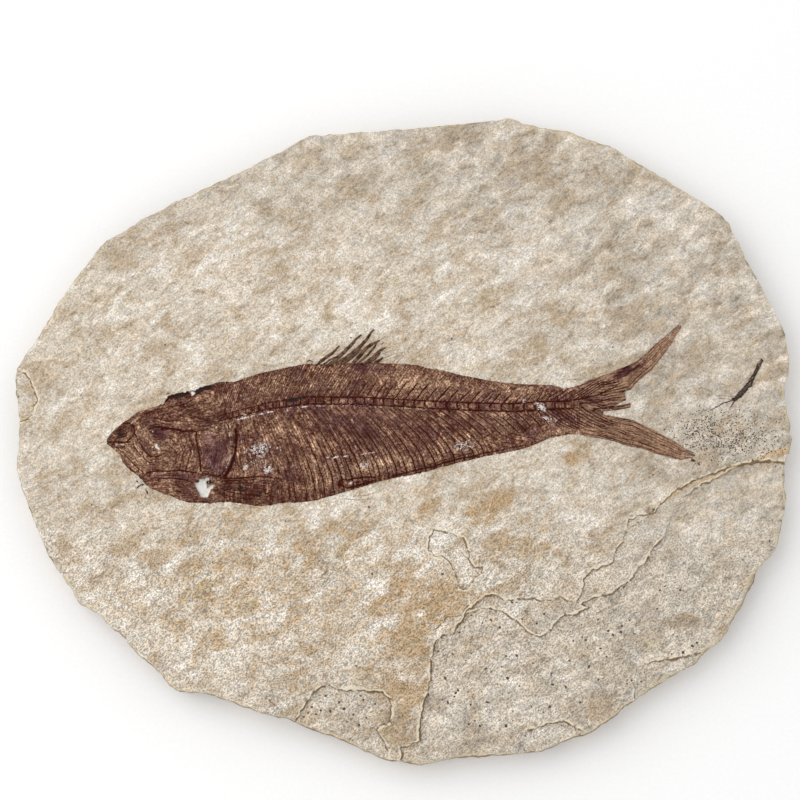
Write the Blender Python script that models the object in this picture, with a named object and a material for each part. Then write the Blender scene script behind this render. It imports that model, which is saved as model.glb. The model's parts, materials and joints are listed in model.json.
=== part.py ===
"""A fossil fish in a slab of split limestone.

The slab lies flat with the fossil face up. Z points up from the flat underside, X runs from the
fish's snout to its tail, and Y runs towards its back. The origin is the middle of the underside.

Outlines are in millimetres on the split face, counted from a point near the fish's throat.
"""

import math

import bmesh
import bpy
from mathutils import Vector, noise

MM = 0.001

# Slab
THICKNESS = 9.0
RING_HEIGHTS = (0.0, 1.3, 2.5, 4.0, 5.4, 6.9, 8.2, 9.0)
RING_OFFSETS = (-0.7, 0.0, -0.3, 0.3, -0.1, 0.2, 0.0, -0.3)
EDGE_STEP = 4.5
EDGE_RAGGED = 0.4
EDGE_GRAIN = 0.16
# How fast the edge's unevenness changes from ring to ring
EDGE_LAYERING = 9
SLAB_EDGE = (
    (-100.5, 17.5), (-86.8, 40.7), (-77.7, 53.4), (-73.4, 54.9), (-71.4, 56.8), (-60.3, 63.1),
    (-24.6, 81.5), (28.4, 86.3), (34.1, 84.3), (43.5, 82.4), (54.2, 78.6), (83.7, 59.9),
    (98.8, 28.2), (99.5, 19.8), (98.0, 14.5), (99.5, 0.0), (97.6, -5.4), (97.1, -11.8),
    (98.0, -14.2), (94.8, -27.4), (89.7, -32.6), (88.6, -35.8), (80.4, -50.2), (76.3, -53.0),
    (73.9, -55.9), (55.8, -66.6), (48.4, -72.3), (33.7, -78.2), (11.7, -79.8), (4.4, -81.5),
    (-4.8, -80.4), (-12.8, -76.3), (-28.3, -70.1), (-41.6, -66.6), (-48.6, -63.8), (-54.9, -63.6),
    (-57.7, -62.8), (-76.7, -44.0), (-82.6, -40.6), (-83.7, -37.7), (-88.7, -31.9), (-98.7, -8.5),
    (-98.7, 4.8),
)
# Where the top edge is worn back: place, reach along the edge, and width
WORN_EDGES = (
    (88, -36, 9, 0.9), (80, -50, 6, 1.0), (68, -60, 12, 0.6), (44, 82, 16, 0.7), (5, -81, 10, 0.5),
    (-80, -42, 6, 0.8),
)

# Layers that have spalled off the split face: outline, top of what is left
LEDGE_LINE = (
    (97.6, -5.4), (87.1, -5.1), (74.5, -9.8), (68.1, -13.4), (63.7, -18.0), (57.1, -20.0),
    (55.6, -25.5), (53.6, -28.0), (52.8, -31.0), (47.9, -32.6), (42.2, -40.3), (22.4, -38.4),
    (20.5, -39.3), (15.8, -43.2), (12.3, -48.9), (7.9, -50.5), (6.4, -56.8), (5.9, -63.8),
    (3.7, -72.6), (3.7, -75.4), (-0.9, -77.3),
)
SECOND_LINE = (
    (97.6, -5.9), (87.1, -6.2), (76.0, -10.9), (69.6, -15.6), (65.8, -24.5), (62.4, -28.1),
    (57.7, -34.9), (52.4, -38.7), (44.5, -41.6), (46.0, -42.5), (38.7, -45.1), (35.1, -48.9),
    (31.3, -48.6), (26.7, -44.8), (18.0, -42.4), (16.6, -43.8), (13.3, -49.7), (9.0, -51.4),
    (7.4, -56.8), (6.9, -64.0), (4.7, -72.6), (4.7, -75.9), (-0.6, -78.3),
)
BEYOND_CORNER = ((0.0, -100.0), (115.0, -100.0), (115.0, -5.6))
FLAKE_SCAR = (
    (6.3, -24.8), (7.6, -22.5), (15.3, -24.8), (16.6, -30.0), (17.9, -32.3), (20.1, -32.0),
    (19.8, -33.9), (17.8, -35.2), (16.5, -37.4), (14.2, -37.7), (13.0, -34.5), (12.0, -31.9),
    (9.8, -29.5), (7.5, -29.4), (6.4, -28.1),
)
LOWER_FLAKE = (
    (-26.6, -69.0), (-22.8, -63.5), (-20.9, -62.2), (-18.4, -61.8), (-16.5, -62.8), (-5.4, -63.2),
    (-3.8, -64.8), (-3.0, -67.0), (-3.3, -70.8), (-6.8, -72.6), (-4.5, -84.0), (-34.0, -84.0),
)
LEFT_CHIP = (
    (-104.0, 19.5), (-97.4, 17.8), (-95.6, 15.0), (-93.9, 10.6), (-96.2, 5.6), (-104.0, 4.0),
)
BOTTOM_SCAR = (
    (27.5, -84.0), (29.2, -73.8), (33.5, -72.0), (37.0, -70.9), (40.7, -70.7), (44.5, -73.0), (47.0, -84.0),
)
CORNER_SCAR = (
    (57.0, -72.0), (58.4, -57.4), (60.5, -56.2), (69.0, -54.9), (74.5, -53.4), (84.0, -49.0), (84.0, -72.0),
)
SPALLS = (
    ("ledge", LEDGE_LINE + BEYOND_CORNER, 8.45),
    ("second_ledge", SECOND_LINE + BEYOND_CORNER, 7.9),
    ("flake_scar", FLAKE_SCAR, 8.55),
    ("lower_flake", LOWER_FLAKE, 8.2),
    ("left_chip", LEFT_CHIP, 8.5),
    ("bottom_scar", BOTTOM_SCAR, 7.4),
    ("corner_scar", CORNER_SCAR, 7.5),
)

# Every cutter reaches up to here, clear of the split face
CUTTER_TOP = THICKNESS + 2

# Beds in the split face
CLEARANCE = 0.32
BED_STEP = 0.95
BED_CORNER = math.radians(35)
MITRE_LIMIT = 1.5
FISH_BASE = 8.4
TWIG_BASE = 8.6

# Fish, from the snout to the root of the tail
BACK_EDGE = (
    (-76.3, 0.0), (-74.7, 2.4), (-71.5, 5.1), (-68.3, 7.5), (-61.8, 9.5), (-60.5, 11.8),
    (-54.2, 13.1), (-51.9, 14.1), (-47.3, 15.4), (-43.7, 15.4), (-36.9, 17.7), (-27.7, 19.8),
    (-22.1, 20.0), (-7.2, 20.4), (3.7, 19.8), (5.7, 19.1), (14.9, 17.1), (24.1, 15.4),
    (29.4, 14.9), (38.6, 14.5), (41.2, 13.6), (45.1, 14.5),
)
BELLY_EDGE = (
    (-76.3, -0.4), (-74.4, -1.9), (-72.4, -3.5), (-71.8, -5.5), (-69.8, -7.5), (-67.5, -9.1),
    (-65.6, -11.4), (-61.4, -13.4), (-54.9, -15.8), (-45.7, -15.7), (-37.9, -16.7), (-34.7, -16.7),
    (-31.4, -15.9), (-22.3, -15.2), (-15.1, -13.1), (-5.3, -10.1), (10.2, -6.6), (21.3, -3.8),
    (30.4, -2.0), (34.4, -0.5), (37.6, 0.9), (42.3, 1.8), (45.0, 1.8),
)
BACKBONE = (
    (-75.9, 0.0), (-70.0, 0.5), (-62.6, 1.6), (-52.0, 4.4), (-45.0, 6.4), (-34.9, 9.0),
    (-24.7, 10.5), (-9.4, 10.3), (6.0, 9.4), (17.5, 8.9), (28.0, 8.6), (34.8, 9.1), (45.0, 9.4),
)
SNOUT_X, NAPE_X, TAIL_ROOT_X = -75.9, -45.0, 45.0
VERTEBRA = 2.4
VERTEBRA_HALF_HEIGHT = 0.9
# Most of the body's depth that half a vertebra takes up
VERTEBRA_DEPTH_SHARE = 0.12
# Rows of the mesh along the backbone, in half heights of a vertebra
BONE_ROW_HEIGHTS = (-1.0, -0.6, 0.6, 1.0)
HEAD_COLUMNS = 21
TAIL_ROOT_COLUMNS = 4
LOBE_COLUMNS = 14
LOWER_ROWS = 10
UPPER_ROWS = 6
# How far back a rib has run when it reaches the belly, and a spine when it reaches the back
RIB_LEAN = ((-76.0, 0.0), (-50.0, 1.0), (-25.0, 6.0), (0.0, 8.0), (20.0, 9.0), (45.0, 0.0))
SPINE_LEAN = ((-76.0, 0.0), (-45.0, 1.5), (0.0, 4.5), (30.0, 4.0), (45.0, 0.0))
RIB_CURVE = 1.6

# Tail fin: edges of its root, then of its two lobes from the fork to their tips
LOWER_ROOT = ((45.0, 1.8), (47.5, 1.2), (52.0, 0.4))
UPPER_ROOT = ((45.1, 14.5), (47.8, 15.9), (52.5, 17.5))
ROOT_UNDER_FORK = ((45.0, 8.9), (51.2, 6.9))
ROOT_OVER_FORK = ((45.0, 9.9), (51.2, 7.8))
LOWER_LOBE_OUTER = (
    (52.0, 0.4), (55.0, -0.4), (57.0, -1.2), (65.0, -3.4), (68.7, -4.4), (70.9, -4.8), (74.3, -4.1),
)
LOWER_LOBE_INNER = (
    (51.2, 6.9), (55.0, 6.2), (58.9, 5.4), (63.0, 3.4), (68.5, 0.4), (72.2, -2.0), (74.5, -3.2),
)
UPPER_LOBE_OUTER = (
    (52.5, 17.5), (58.2, 19.9), (60.2, 21.0), (62.2, 22.6), (64.9, 25.3), (68.7, 28.3), (71.0, 30.4),
)
UPPER_LOBE_INNER = (
    (51.2, 7.8), (55.0, 8.1), (58.3, 8.8), (57.2, 11.9), (59.5, 14.9), (64.0, 18.7), (67.6, 23.2),
    (71.8, 29.9),
)

# Back fin: the middle line of each ray, from its root on the back
BACK_FIN_RAYS = (
    ((-22.6, 20.0), (-20.2, 22.0), (-18.0, 23.2), (-16.6, 24.8)),
    ((-19.4, 20.2), (-16.2, 22.4), (-13.6, 25.1), (-11.0, 27.7)),
    ((-17.4, 20.2), (-14.6, 22.0), (-11.6, 24.4), (-9.4, 26.8), (-7.8, 29.1)),
    ((-13.4, 20.3), (-11.4, 22.4), (-9.6, 24.6), (-6.2, 26.4)),
    ((-10.4, 20.3), (-8.0, 21.8), (-6.2, 23.8), (-4.8, 24.4)),
    ((-7.6, 20.4), (-6.4, 21.1), (-5.3, 21.8)),
)
RAY_HALF_WIDTH = 0.42
RAY_TIP_HALF_WIDTH = 0.16
RAY_ROOT_STEP = 0.18
RAY_BASE = 9.3
RAY_RELIEF = 0.62

# Relief of the fish over the split face
EDGE_RELIEF = 0.12
DOME = ((-76.0, 0.45), (-62.0, 0.85), (-45.0, 0.75), (0.0, 0.55), (30.0, 0.5), (50.0, 0.3), (76.0, 0.1))
DOME_FULLNESS = 0.4
RIB_RELIEF = 0.15
VERTEBRA_RELIEF = 0.34
# Shares of the relief on a vertebra's crest and on its sides
VERTEBRA_CREST, VERTEBRA_SIDE = 0.6, 0.3
FIN_RAY_RELIEF = 0.09

# Head. The rims and hollows of the eye and of the gill cover are given in shares of their radii.
HEAD_END_X = NAPE_X + 4
# How the head's relief fades towards its outline
HEAD_FADE, HEAD_LEAST = 6.0, 0.2
EYE = (-62.6, 1.6)
EYE_RADII = (2.7, 2.0)
EYE_RIM_HEIGHT, EYE_RIM_RADIUS, EYE_RIM_WIDTH = 0.3, 1.15, 0.28
EYE_HOLLOW_DEPTH, EYE_HOLLOW_WIDTH = 0.25, 0.75
GILL_COVER = (-50.4, -2.6)
GILL_COVER_RADII = (6.6, 7.2)
GILL_DOME_HEIGHT, GILL_DOME_WIDTH = 0.3, 0.8
GILL_RIM_HEIGHT, GILL_RIM_RADIUS, GILL_RIM_WIDTH = 0.25, 0.93, 0.12
GILL_SLIT_DEPTH, GILL_SLIT_RADIUS, GILL_SLIT_WIDTH = 0.42, 1.12, 0.09
JAW = ((-75.2, -1.1), (-71.0, -4.6), (-65.6, -10.2))
MOUTH = ((-75.6, -0.2), (-71.5, -0.8), (-66.5, -3.2))
SKULL_ROOF = ((-73.5, 2.4), (-67.0, 6.6), (-60.0, 8.8), (-50.0, 11.8))
CHEEK_BONE = ((-56.5, 1.0), (-54.6, -3.0), (-56.4, -8.6), (-63.0, -9.0))
SHOULDER_BONE = ((-44.9, 5.0), (-42.6, -2.6), (-44.6, -8.6))
BELLY_FIN = ((-16.4, -11.2), (-12.0, -10.9), (-6.6, -9.7))
BREAST_FIN = ((-45.6, -10.2), (-39.0, -11.6), (-32.5, -12.6))
# Line, height and width of each ridge or groove
HEAD_RIDGES = (
    (JAW, 0.4, 0.8), (MOUTH, -0.4, 0.45), (SKULL_ROOF, 0.32, 0.9), (CHEEK_BONE, 0.3, 0.8),
    (SHOULDER_BONE, 0.28, 0.7),
)
FIN_RIDGES = ((BELLY_FIN, 0.2, 0.8), (BREAST_FIN, 0.2, 1.6))
# Patch where the bone is lost: flat out to one share of its radius, then sloping up to the bone
LOST_PATCH = (-50.8, -12.0)
LOST_PATCH_RADIUS = 2.5
LOST_FLOOR, LOST_SLOPE = -0.2, 0.9
LOST_FLAT, LOST_RIM = 0.7, 1.2
# How far the finer mesh reaches round each detail
EYE_DETAIL_REACH = 4.8
LOST_DETAIL_REACH = 4.2
BONE_DETAIL_REACH = 1.3
GILL_DETAIL = (0.7, 1.3)

# Plant scrap: middle line and half widths
TWIG_LINE = (
    (84.6, 10.6), (85.6, 11.3), (87.6, 13.3), (89.1, 15.1), (90.3, 17.4), (91.6, 19.6), (92.5, 21.2),
)
TWIG_HALF_WIDTHS = (0.35, 0.62, 0.6, 0.62, 0.42, 0.4, 0.22)
TWIG_RELIEF = 0.35
TWIG_EDGE_RELIEF = 0.05
TWIG_ROUGHNESS, TWIG_GRAIN = 0.25, 1.3
# Stretch of the twig, as a share of its length, over which its direction is read
TWIG_RUN = 0.05
TWIG_STEPS = 18
TWIG_ROWS = 3

SLAB_COLOUR = (0.66, 0.58, 0.46, 1.0)
FISH_COLOUR = (0.16, 0.085, 0.055, 1.0)
TWIG_COLOUR = (0.03, 0.026, 0.024, 1.0)

# Slack when the fish's flat underside is cleared of needless edges
LEVEL_SLACK = 1e-7
FLAT_ANGLE = 0.01


def value_at(line, x):
    """The second value of a line of points where its first value is x."""
    if x <= line[0][0]:
        return line[0][1]
    for (x0, y0), (x1, y1) in zip(line, line[1:]):
        if x <= x1:
            return y0 + (y1 - y0) * (x - x0) / (x1 - x0)
    return line[-1][1]


def point_along(line, fraction):
    """The point at a fraction of a line's length."""
    points = [Vector(point) for point in line]
    lengths = [(b - a).length for a, b in zip(points, points[1:])]
    left = fraction * sum(lengths)
    for a, b, length in zip(points, points[1:], lengths):
        if left <= length:
            return a.lerp(b, left / length)
        left -= length
    return points[-1]


def distance_to(line, point):
    """The shortest distance from a point to a line of points."""
    nearest = math.inf
    for a, b in zip(line, line[1:]):
        start, run = Vector(a), Vector(b) - Vector(a)
        share = min(1.0, max(0.0, (point - start).dot(run) / run.length_squared))
        nearest = min(nearest, (point - start - run * share).length)
    return nearest


def offset_outline(outline, distance):
    """A closed outline moved outwards, by one distance or by one for each point."""
    points = [Vector(point) for point in outline]
    area = sum(a.x * b.y - b.x * a.y for a, b in zip(points, points[1:] + points[:1]))
    outward = 1 if area > 0 else -1
    moved = []
    for index, point in enumerate(points):
        before = (point - points[index - 1]).normalized()
        after = (points[(index + 1) % len(points)] - point).normalized()
        normal = Vector((before.y + after.y, -before.x - after.x)) * outward
        mitre = 2.0 / max(normal.length, 2.0 / MITRE_LIMIT)
        amount = distance[index] if isinstance(distance, list) else distance
        moved.append(point + normal.normalized() * amount * mitre)
    return moved


def ragged_edge():
    """The slab's outline with a point every few millimetres, moved in and out a little."""
    points = []
    closed = SLAB_EDGE + SLAB_EDGE[:1]
    for a, b in zip(closed, closed[1:]):
        start, run = Vector(a), Vector(b) - Vector(a)
        steps = max(1, round(run.length / EDGE_STEP))
        points += [start + run * step / steps for step in range(steps)]
    shift = [EDGE_RAGGED * noise.noise(Vector((p.x, p.y, 0)) * EDGE_GRAIN) for p in points]
    return offset_outline(points, shift)


def slab_rings():
    """The slab's outline at each height, from the underside to the split face."""
    edge = ragged_edge()
    rings = []
    for height, offset in zip(RING_HEIGHTS, RING_OFFSETS):
        amounts = []
        for p in edge:
            rough = EDGE_RAGGED * noise.noise(Vector((p.x, p.y, EDGE_LAYERING * height)) * EDGE_GRAIN)
            worn = 0.0
            if height == THICKNESS:
                for x, y, reach, width in WORN_EDGES:
                    worn += width * math.exp(-(((p - Vector((x, y))).length / reach) ** 2))
            amounts.append(offset + rough - worn)
        rings.append(offset_outline(edge, amounts))
    return rings


RINGS = slab_rings()
MIDDLE = Vector((
    (min(p.x for ring in RINGS for p in ring) + max(p.x for ring in RINGS for p in ring)) / 2,
    (min(p.y for ring in RINGS for p in ring) + max(p.y for ring in RINGS for p in ring)) / 2,
))


def place(x, y, z):
    """A point in the object's own frame, in metres."""
    return Vector((x - MIDDLE.x, y - MIDDLE.y, z)) * MM


def material(name, colour, roughness):
    made = bpy.data.materials.new(name)
    made.use_nodes = True
    shader = made.node_tree.nodes["Principled BSDF"]
    shader.inputs["Base Color"].default_value = colour
    shader.inputs["Roughness"].default_value = roughness
    shader.inputs["Metallic"].default_value = 0.0
    return made


def finish_mesh(bm, name, collection):
    """Puts a finished bmesh into a new object."""
    bmesh.ops.recalc_face_normals(bm, faces=bm.faces[:])
    mesh = bpy.data.meshes.new(name)
    bm.to_mesh(mesh)
    bm.free()
    made = bpy.data.objects.new(name, mesh)
    collection.objects.link(made)
    return made


def stacked_outlines(outlines, heights):
    """A closed solid that passes through one outline after another, from the lowest up."""
    bm = bmesh.new()
    order = bm.verts.layers.int.new("order")
    ring = bmesh.ops.create_circle(bm, cap_ends=True, segments=len(outlines[0]), radius=1.0)["verts"]
    for index, vert in enumerate(ring):
        vert[order] = index
        vert.co = place(*outlines[0][index], heights[0])
    under = next(iter(bm.faces))
    cap = under
    for outline, height in zip(outlines[1:], heights[1:]):
        made = bmesh.ops.extrude_face_region(bm, geom=[cap])["geom"]
        if cap is not under:
            bmesh.ops.delete(bm, geom=[cap], context="FACES_ONLY")
        for vert in (item for item in made if isinstance(item, bmesh.types.BMVert)):
            vert.co = place(*outline[vert[order]], height)
        cap = next(item for item in made if isinstance(item, bmesh.types.BMFace))
    return bm


def cut(target, bm, name, cutters):
    """Takes a closed shape away from an object."""
    cutter = finish_mesh(bm, name, cutters)
    cutter.hide_render = True
    cutter.display_type = "WIRE"
    boolean = target.modifiers.new(name, "BOOLEAN")
    boolean.operation = "DIFFERENCE"
    boolean.solver = "EXACT"
    boolean.object = cutter


def make_slab(collection, cutters):
    slab = finish_mesh(stacked_outlines(RINGS, RING_HEIGHTS), "slab", collection)
    for name, outline, floor in SPALLS:
        cut(slab, stacked_outlines([outline, outline], (floor, CUTTER_TOP)), name, cutters)
    slab.data.materials.append(material("limestone", SLAB_COLOUR, 0.9))
    return slab


def body_columns():
    """Where each column of the fish's mesh crosses the backbone: two columns to a vertebra."""
    head = [SNOUT_X + (NAPE_X - SNOUT_X) * step / HEAD_COLUMNS for step in range(HEAD_COLUMNS)]
    count = round((TAIL_ROOT_X - NAPE_X) / (VERTEBRA / 2))
    body = [NAPE_X + (TAIL_ROOT_X - NAPE_X) * step / count for step in range(count + 1)]
    return head + body


COLUMNS = body_columns()
LAST_BODY_COLUMN = len(COLUMNS) - 1
FORK_COLUMN = LAST_BODY_COLUMN + TAIL_ROOT_COLUMNS
TIP_COLUMN = FORK_COLUMN + LOBE_COLUMNS
BONE_ROWS = (LOWER_ROWS, LOWER_ROWS + 1, LOWER_ROWS + 2, LOWER_ROWS + 3)
UNDER_FORK_ROW, OVER_FORK_ROW = BONE_ROWS[1], BONE_ROWS[2]
TOP_ROW = BONE_ROWS[3] + UPPER_ROWS


def body_point(column, row):
    """A point of the fish's body: columns follow the ribs and the spines."""
    x = COLUMNS[column]
    bone = value_at(BACKBONE, x)
    depth = value_at(BACK_EDGE, x) - value_at(BELLY_EDGE, x)
    half = min(VERTEBRA_HALF_HEIGHT, VERTEBRA_DEPTH_SHARE * depth)
    if row in BONE_ROWS:
        return Vector((x, bone + half * BONE_ROW_HEIGHTS[row - LOWER_ROWS]))
    if row < LOWER_ROWS:
        down = 1 - row / LOWER_ROWS
        end = x + value_at(RIB_LEAN, x)
        edge = value_at(BELLY_EDGE, end)
        along = 1 - (1 - down) ** RIB_CURVE
        return Vector((x + (end - x) * along, (bone - half) * (1 - down) + edge * down))
    up = (row - BONE_ROWS[3]) / UPPER_ROWS
    end = x + value_at(SPINE_LEAN, x)
    edge = value_at(BACK_EDGE, end)
    return Vector((x + (end - x) * up, (bone + half) * (1 - up) + edge * up))


def tail_point(column, row):
    """A point of the tail fin: rows follow its rays."""
    if column <= FORK_COLUMN:
        along = (column - LAST_BODY_COLUMN) / TAIL_ROOT_COLUMNS
        lower, under, over, upper = LOWER_ROOT, ROOT_UNDER_FORK, ROOT_OVER_FORK, UPPER_ROOT
    else:
        along = (column - FORK_COLUMN) / LOBE_COLUMNS
        lower, under, over, upper = LOWER_LOBE_OUTER, LOWER_LOBE_INNER, UPPER_LOBE_INNER, UPPER_LOBE_OUTER
    if row <= UNDER_FORK_ROW:
        start, end, share = lower, under, row / UNDER_FORK_ROW
    else:
        start, end, share = over, upper, (row - OVER_FORK_ROW) / (TOP_ROW - OVER_FORK_ROW)
    return point_along(start, along).lerp(point_along(end, along), share)


def ridge_height(column, row):
    """Ribs and spines on every other column, vertebrae along the backbone, rays along the tail."""
    if row in (0, TOP_ROW) or column in (0, TIP_COLUMN):
        return 0.0
    if column > LAST_BODY_COLUMN:
        fade = 1 - max(0.0, (column - FORK_COLUMN) / LOBE_COLUMNS) ** 2
        return FIN_RAY_RELIEF * fade * (1 if row % 2 else -1)
    if COLUMNS[column] < NAPE_X:
        return 0.0
    crest = 1 if (column - HEAD_COLUMNS) % 2 else -1
    if row in (UNDER_FORK_ROW, OVER_FORK_ROW):
        return VERTEBRA_RELIEF + VERTEBRA_CREST * RIB_RELIEF * crest
    if row in BONE_ROWS:
        return VERTEBRA_SIDE * VERTEBRA_RELIEF + RIB_RELIEF * crest
    return RIB_RELIEF * crest


def bump(distance, width):
    return math.exp(-((distance / width) ** 2))


def gill_distance(point):
    """Distance from the middle of the gill cover, 1 on its rim."""
    x = (point.x - GILL_COVER[0]) / GILL_COVER_RADII[0]
    y = (point.y - GILL_COVER[1]) / GILL_COVER_RADII[1]
    return math.hypot(x, y)


def ridges_at(point, ridges):
    """Height of ridges and grooves at a point."""
    return sum(height * bump(distance_to(line, point), width) for line, height, width in ridges)


def head_relief(point):
    """Eye, gill cover, jaws, skull roof and the bones beside them."""
    eye = math.hypot((point.x - EYE[0]) / EYE_RADII[0], (point.y - EYE[1]) / EYE_RADII[1])
    gill = gill_distance(point)
    height = EYE_RIM_HEIGHT * bump(eye - EYE_RIM_RADIUS, EYE_RIM_WIDTH)
    height -= EYE_HOLLOW_DEPTH * bump(eye, EYE_HOLLOW_WIDTH)
    height += GILL_DOME_HEIGHT * bump(gill, GILL_DOME_WIDTH)
    height += GILL_RIM_HEIGHT * bump(gill - GILL_RIM_RADIUS, GILL_RIM_WIDTH)
    if point.x > GILL_COVER[0]:
        height -= GILL_SLIT_DEPTH * bump(gill - GILL_SLIT_RADIUS, GILL_SLIT_WIDTH)
    return height + ridges_at(point, HEAD_RIDGES)


def relief(point):
    """Height of the fish over the split face, without its ribs, vertebrae and fin rays."""
    if point.x <= TAIL_ROOT_X:
        low, high = value_at(BELLY_EDGE, point.x), value_at(BACK_EDGE, point.x)
        share = min(1.0, max(0.0, (point.y - low) / (high - low)))
    else:
        share = 0.5
    height = EDGE_RELIEF + value_at(DOME, point.x) * (4 * share * (1 - share)) ** DOME_FULLNESS
    if point.x < HEAD_END_X:
        height += head_relief(point) * min(1.0, HEAD_FADE * share * (1 - share) + HEAD_LEAST)
    height += ridges_at(point, FIN_RIDGES)
    lost = (point - Vector(LOST_PATCH)).length / LOST_PATCH_RADIUS
    if lost > LOST_RIM:
        return height
    return min(height, LOST_FLOOR + LOST_SLOPE * max(0.0, lost - LOST_FLAT))


def needs_detail(point):
    """Whether a point is near the eye, the lost patch, the jaws or the rim of the gill cover."""
    if (point - Vector(EYE)).length < EYE_DETAIL_REACH:
        return True
    if (point - Vector(LOST_PATCH)).length < LOST_DETAIL_REACH:
        return True
    if min(distance_to(JAW, point), distance_to(MOUTH, point)) < BONE_DETAIL_REACH:
        return True
    return point.x > GILL_COVER[0] and GILL_DETAIL[0] < gill_distance(point) < GILL_DETAIL[1]


def fish_sheet():
    """The fish as one open sheet, flat, with its ridges kept in a layer."""
    bm = bmesh.new()
    bmesh.ops.create_grid(bm, x_segments=TIP_COLUMN, y_segments=TOP_ROW, size=1.0)
    ridge = bm.verts.layers.float.new("ridge")
    gap = []
    for face in bm.faces:
        middle = face.calc_center_median()
        past_fork = (middle.x + 1) / 2 * TIP_COLUMN > FORK_COLUMN
        between = UNDER_FORK_ROW < (middle.y + 1) / 2 * TOP_ROW < OVER_FORK_ROW
        if past_fork and between:
            gap.append(face)
    for vert in bm.verts:
        column = round((vert.co.x + 1) / 2 * TIP_COLUMN)
        row = round((vert.co.y + 1) / 2 * TOP_ROW)
        point = body_point(column, row) if column <= LAST_BODY_COLUMN else tail_point(column, row)
        vert.co = (point.x, point.y, 0.0)
        vert[ridge] = ridge_height(column, row)
    bmesh.ops.delete(bm, geom=gap, context="FACES_ONLY")
    bmesh.ops.delete(bm, geom=[edge for edge in bm.edges if not edge.link_faces], context="EDGES")
    fine = [edge for edge in bm.edges if all(needs_detail(vert.co.xy) for vert in edge.verts)]
    bmesh.ops.subdivide_edges(bm, edges=fine, cuts=1, use_grid_fill=True)
    return bm, ridge


def boundary_outline(bm):
    """The points round an open sheet, in order."""
    here = min((vert for vert in bm.verts if vert.is_boundary), key=lambda vert: vert.co.x)
    edges = {edge for edge in bm.edges if edge.is_boundary}
    outline = []
    while edges:
        edge = next(edge for edge in here.link_edges if edge in edges)
        edges.remove(edge)
        outline.append(here.co.xy.copy())
        here = edge.other_vert(here)
    return outline


def bed_outline(bm):
    """The outline of a sheet's bed: its corners and a point every millimetre or so, moved outwards."""
    outline = boundary_outline(bm)
    kept = []
    for index, point in enumerate(outline):
        before = point - outline[index - 1]
        after = outline[(index + 1) % len(outline)] - point
        if before.angle(after) > BED_CORNER or not kept or (point - kept[-1]).length > BED_STEP:
            kept.append(point)
    return offset_outline(kept, CLEARANCE)


def grow_back_fin(bm, lift):
    """Draws each fin ray out of one edge of the back; lift marks the points that lie on the split face."""
    for ray in BACK_FIN_RAYS:
        root = Vector((ray[0][0], ray[0][1], 0.0))
        rim = [edge for edge in bm.edges if edge.is_boundary]
        back = [edge for edge in rim if not any(vert[lift] for vert in edge.verts)]
        edge = min(back, key=lambda item: ((item.verts[0].co + item.verts[1].co) / 2 - root).length)
        middle = (edge.verts[0].co + edge.verts[1].co) / 2
        points = [Vector((*point, 0.0)) for point in ray]
        points[0] = middle + (points[1] - middle).normalized() * RAY_ROOT_STEP
        for step, point in enumerate(points):
            here = points[min(step + 1, len(points) - 1)] - points[max(step - 1, 0)]
            across = Vector((-here.y, here.x, 0.0)).normalized()
            half = RAY_HALF_WIDTH + (RAY_TIP_HALF_WIDTH - RAY_HALF_WIDTH) * (step / (len(points) - 1)) ** 2
            ends = sorted(edge.verts, key=lambda vert: vert.co.dot(across))
            made = bmesh.ops.extrude_edge_only(bm, edges=[edge])["geom"]
            edge = next(item for item in made if isinstance(item, bmesh.types.BMEdge))
            for vert in edge.verts:
                vert[lift] = 1.0
            low, high = sorted(edge.verts, key=lambda vert: (vert.co - ends[0].co).length)
            low.co, high.co = point - across * half, point + across * half


def make_fish(collection, slab, cutters):
    bm, ridge = fish_sheet()
    bed = bed_outline(bm)
    bed_heights = (FISH_BASE - CLEARANCE, CUTTER_TOP)
    cut(slab, stacked_outlines([bed, bed], bed_heights), "fish_bed", cutters)
    lift = bm.verts.layers.float.new("lift")
    grow_back_fin(bm, lift)
    made = bmesh.ops.extrude_face_region(bm, geom=bm.faces[:])["geom"]
    tops = {item for item in made if isinstance(item, bmesh.types.BMVert)}
    for vert in bm.verts:
        x, y = vert.co.xy
        if vert in tops:
            height = RAY_RELIEF if vert[lift] else relief(vert.co.xy) + vert[ridge]
            vert.co = place(x, y, THICKNESS + height)
        else:
            vert.co = place(x, y, RAY_BASE if vert[lift] else FISH_BASE)
    under = [vert for vert in bm.verts if abs(vert.co.z - FISH_BASE * MM) < LEVEL_SLACK]
    flat = set(under)
    edges = [edge for edge in bm.edges if flat.issuperset(edge.verts)]
    bmesh.ops.dissolve_limit(bm, angle_limit=FLAT_ANGLE, verts=under, edges=edges)
    fish = finish_mesh(bm, "fish", collection)
    fish.data.materials.append(material("fossil_bone", FISH_COLOUR, 0.5))


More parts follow.
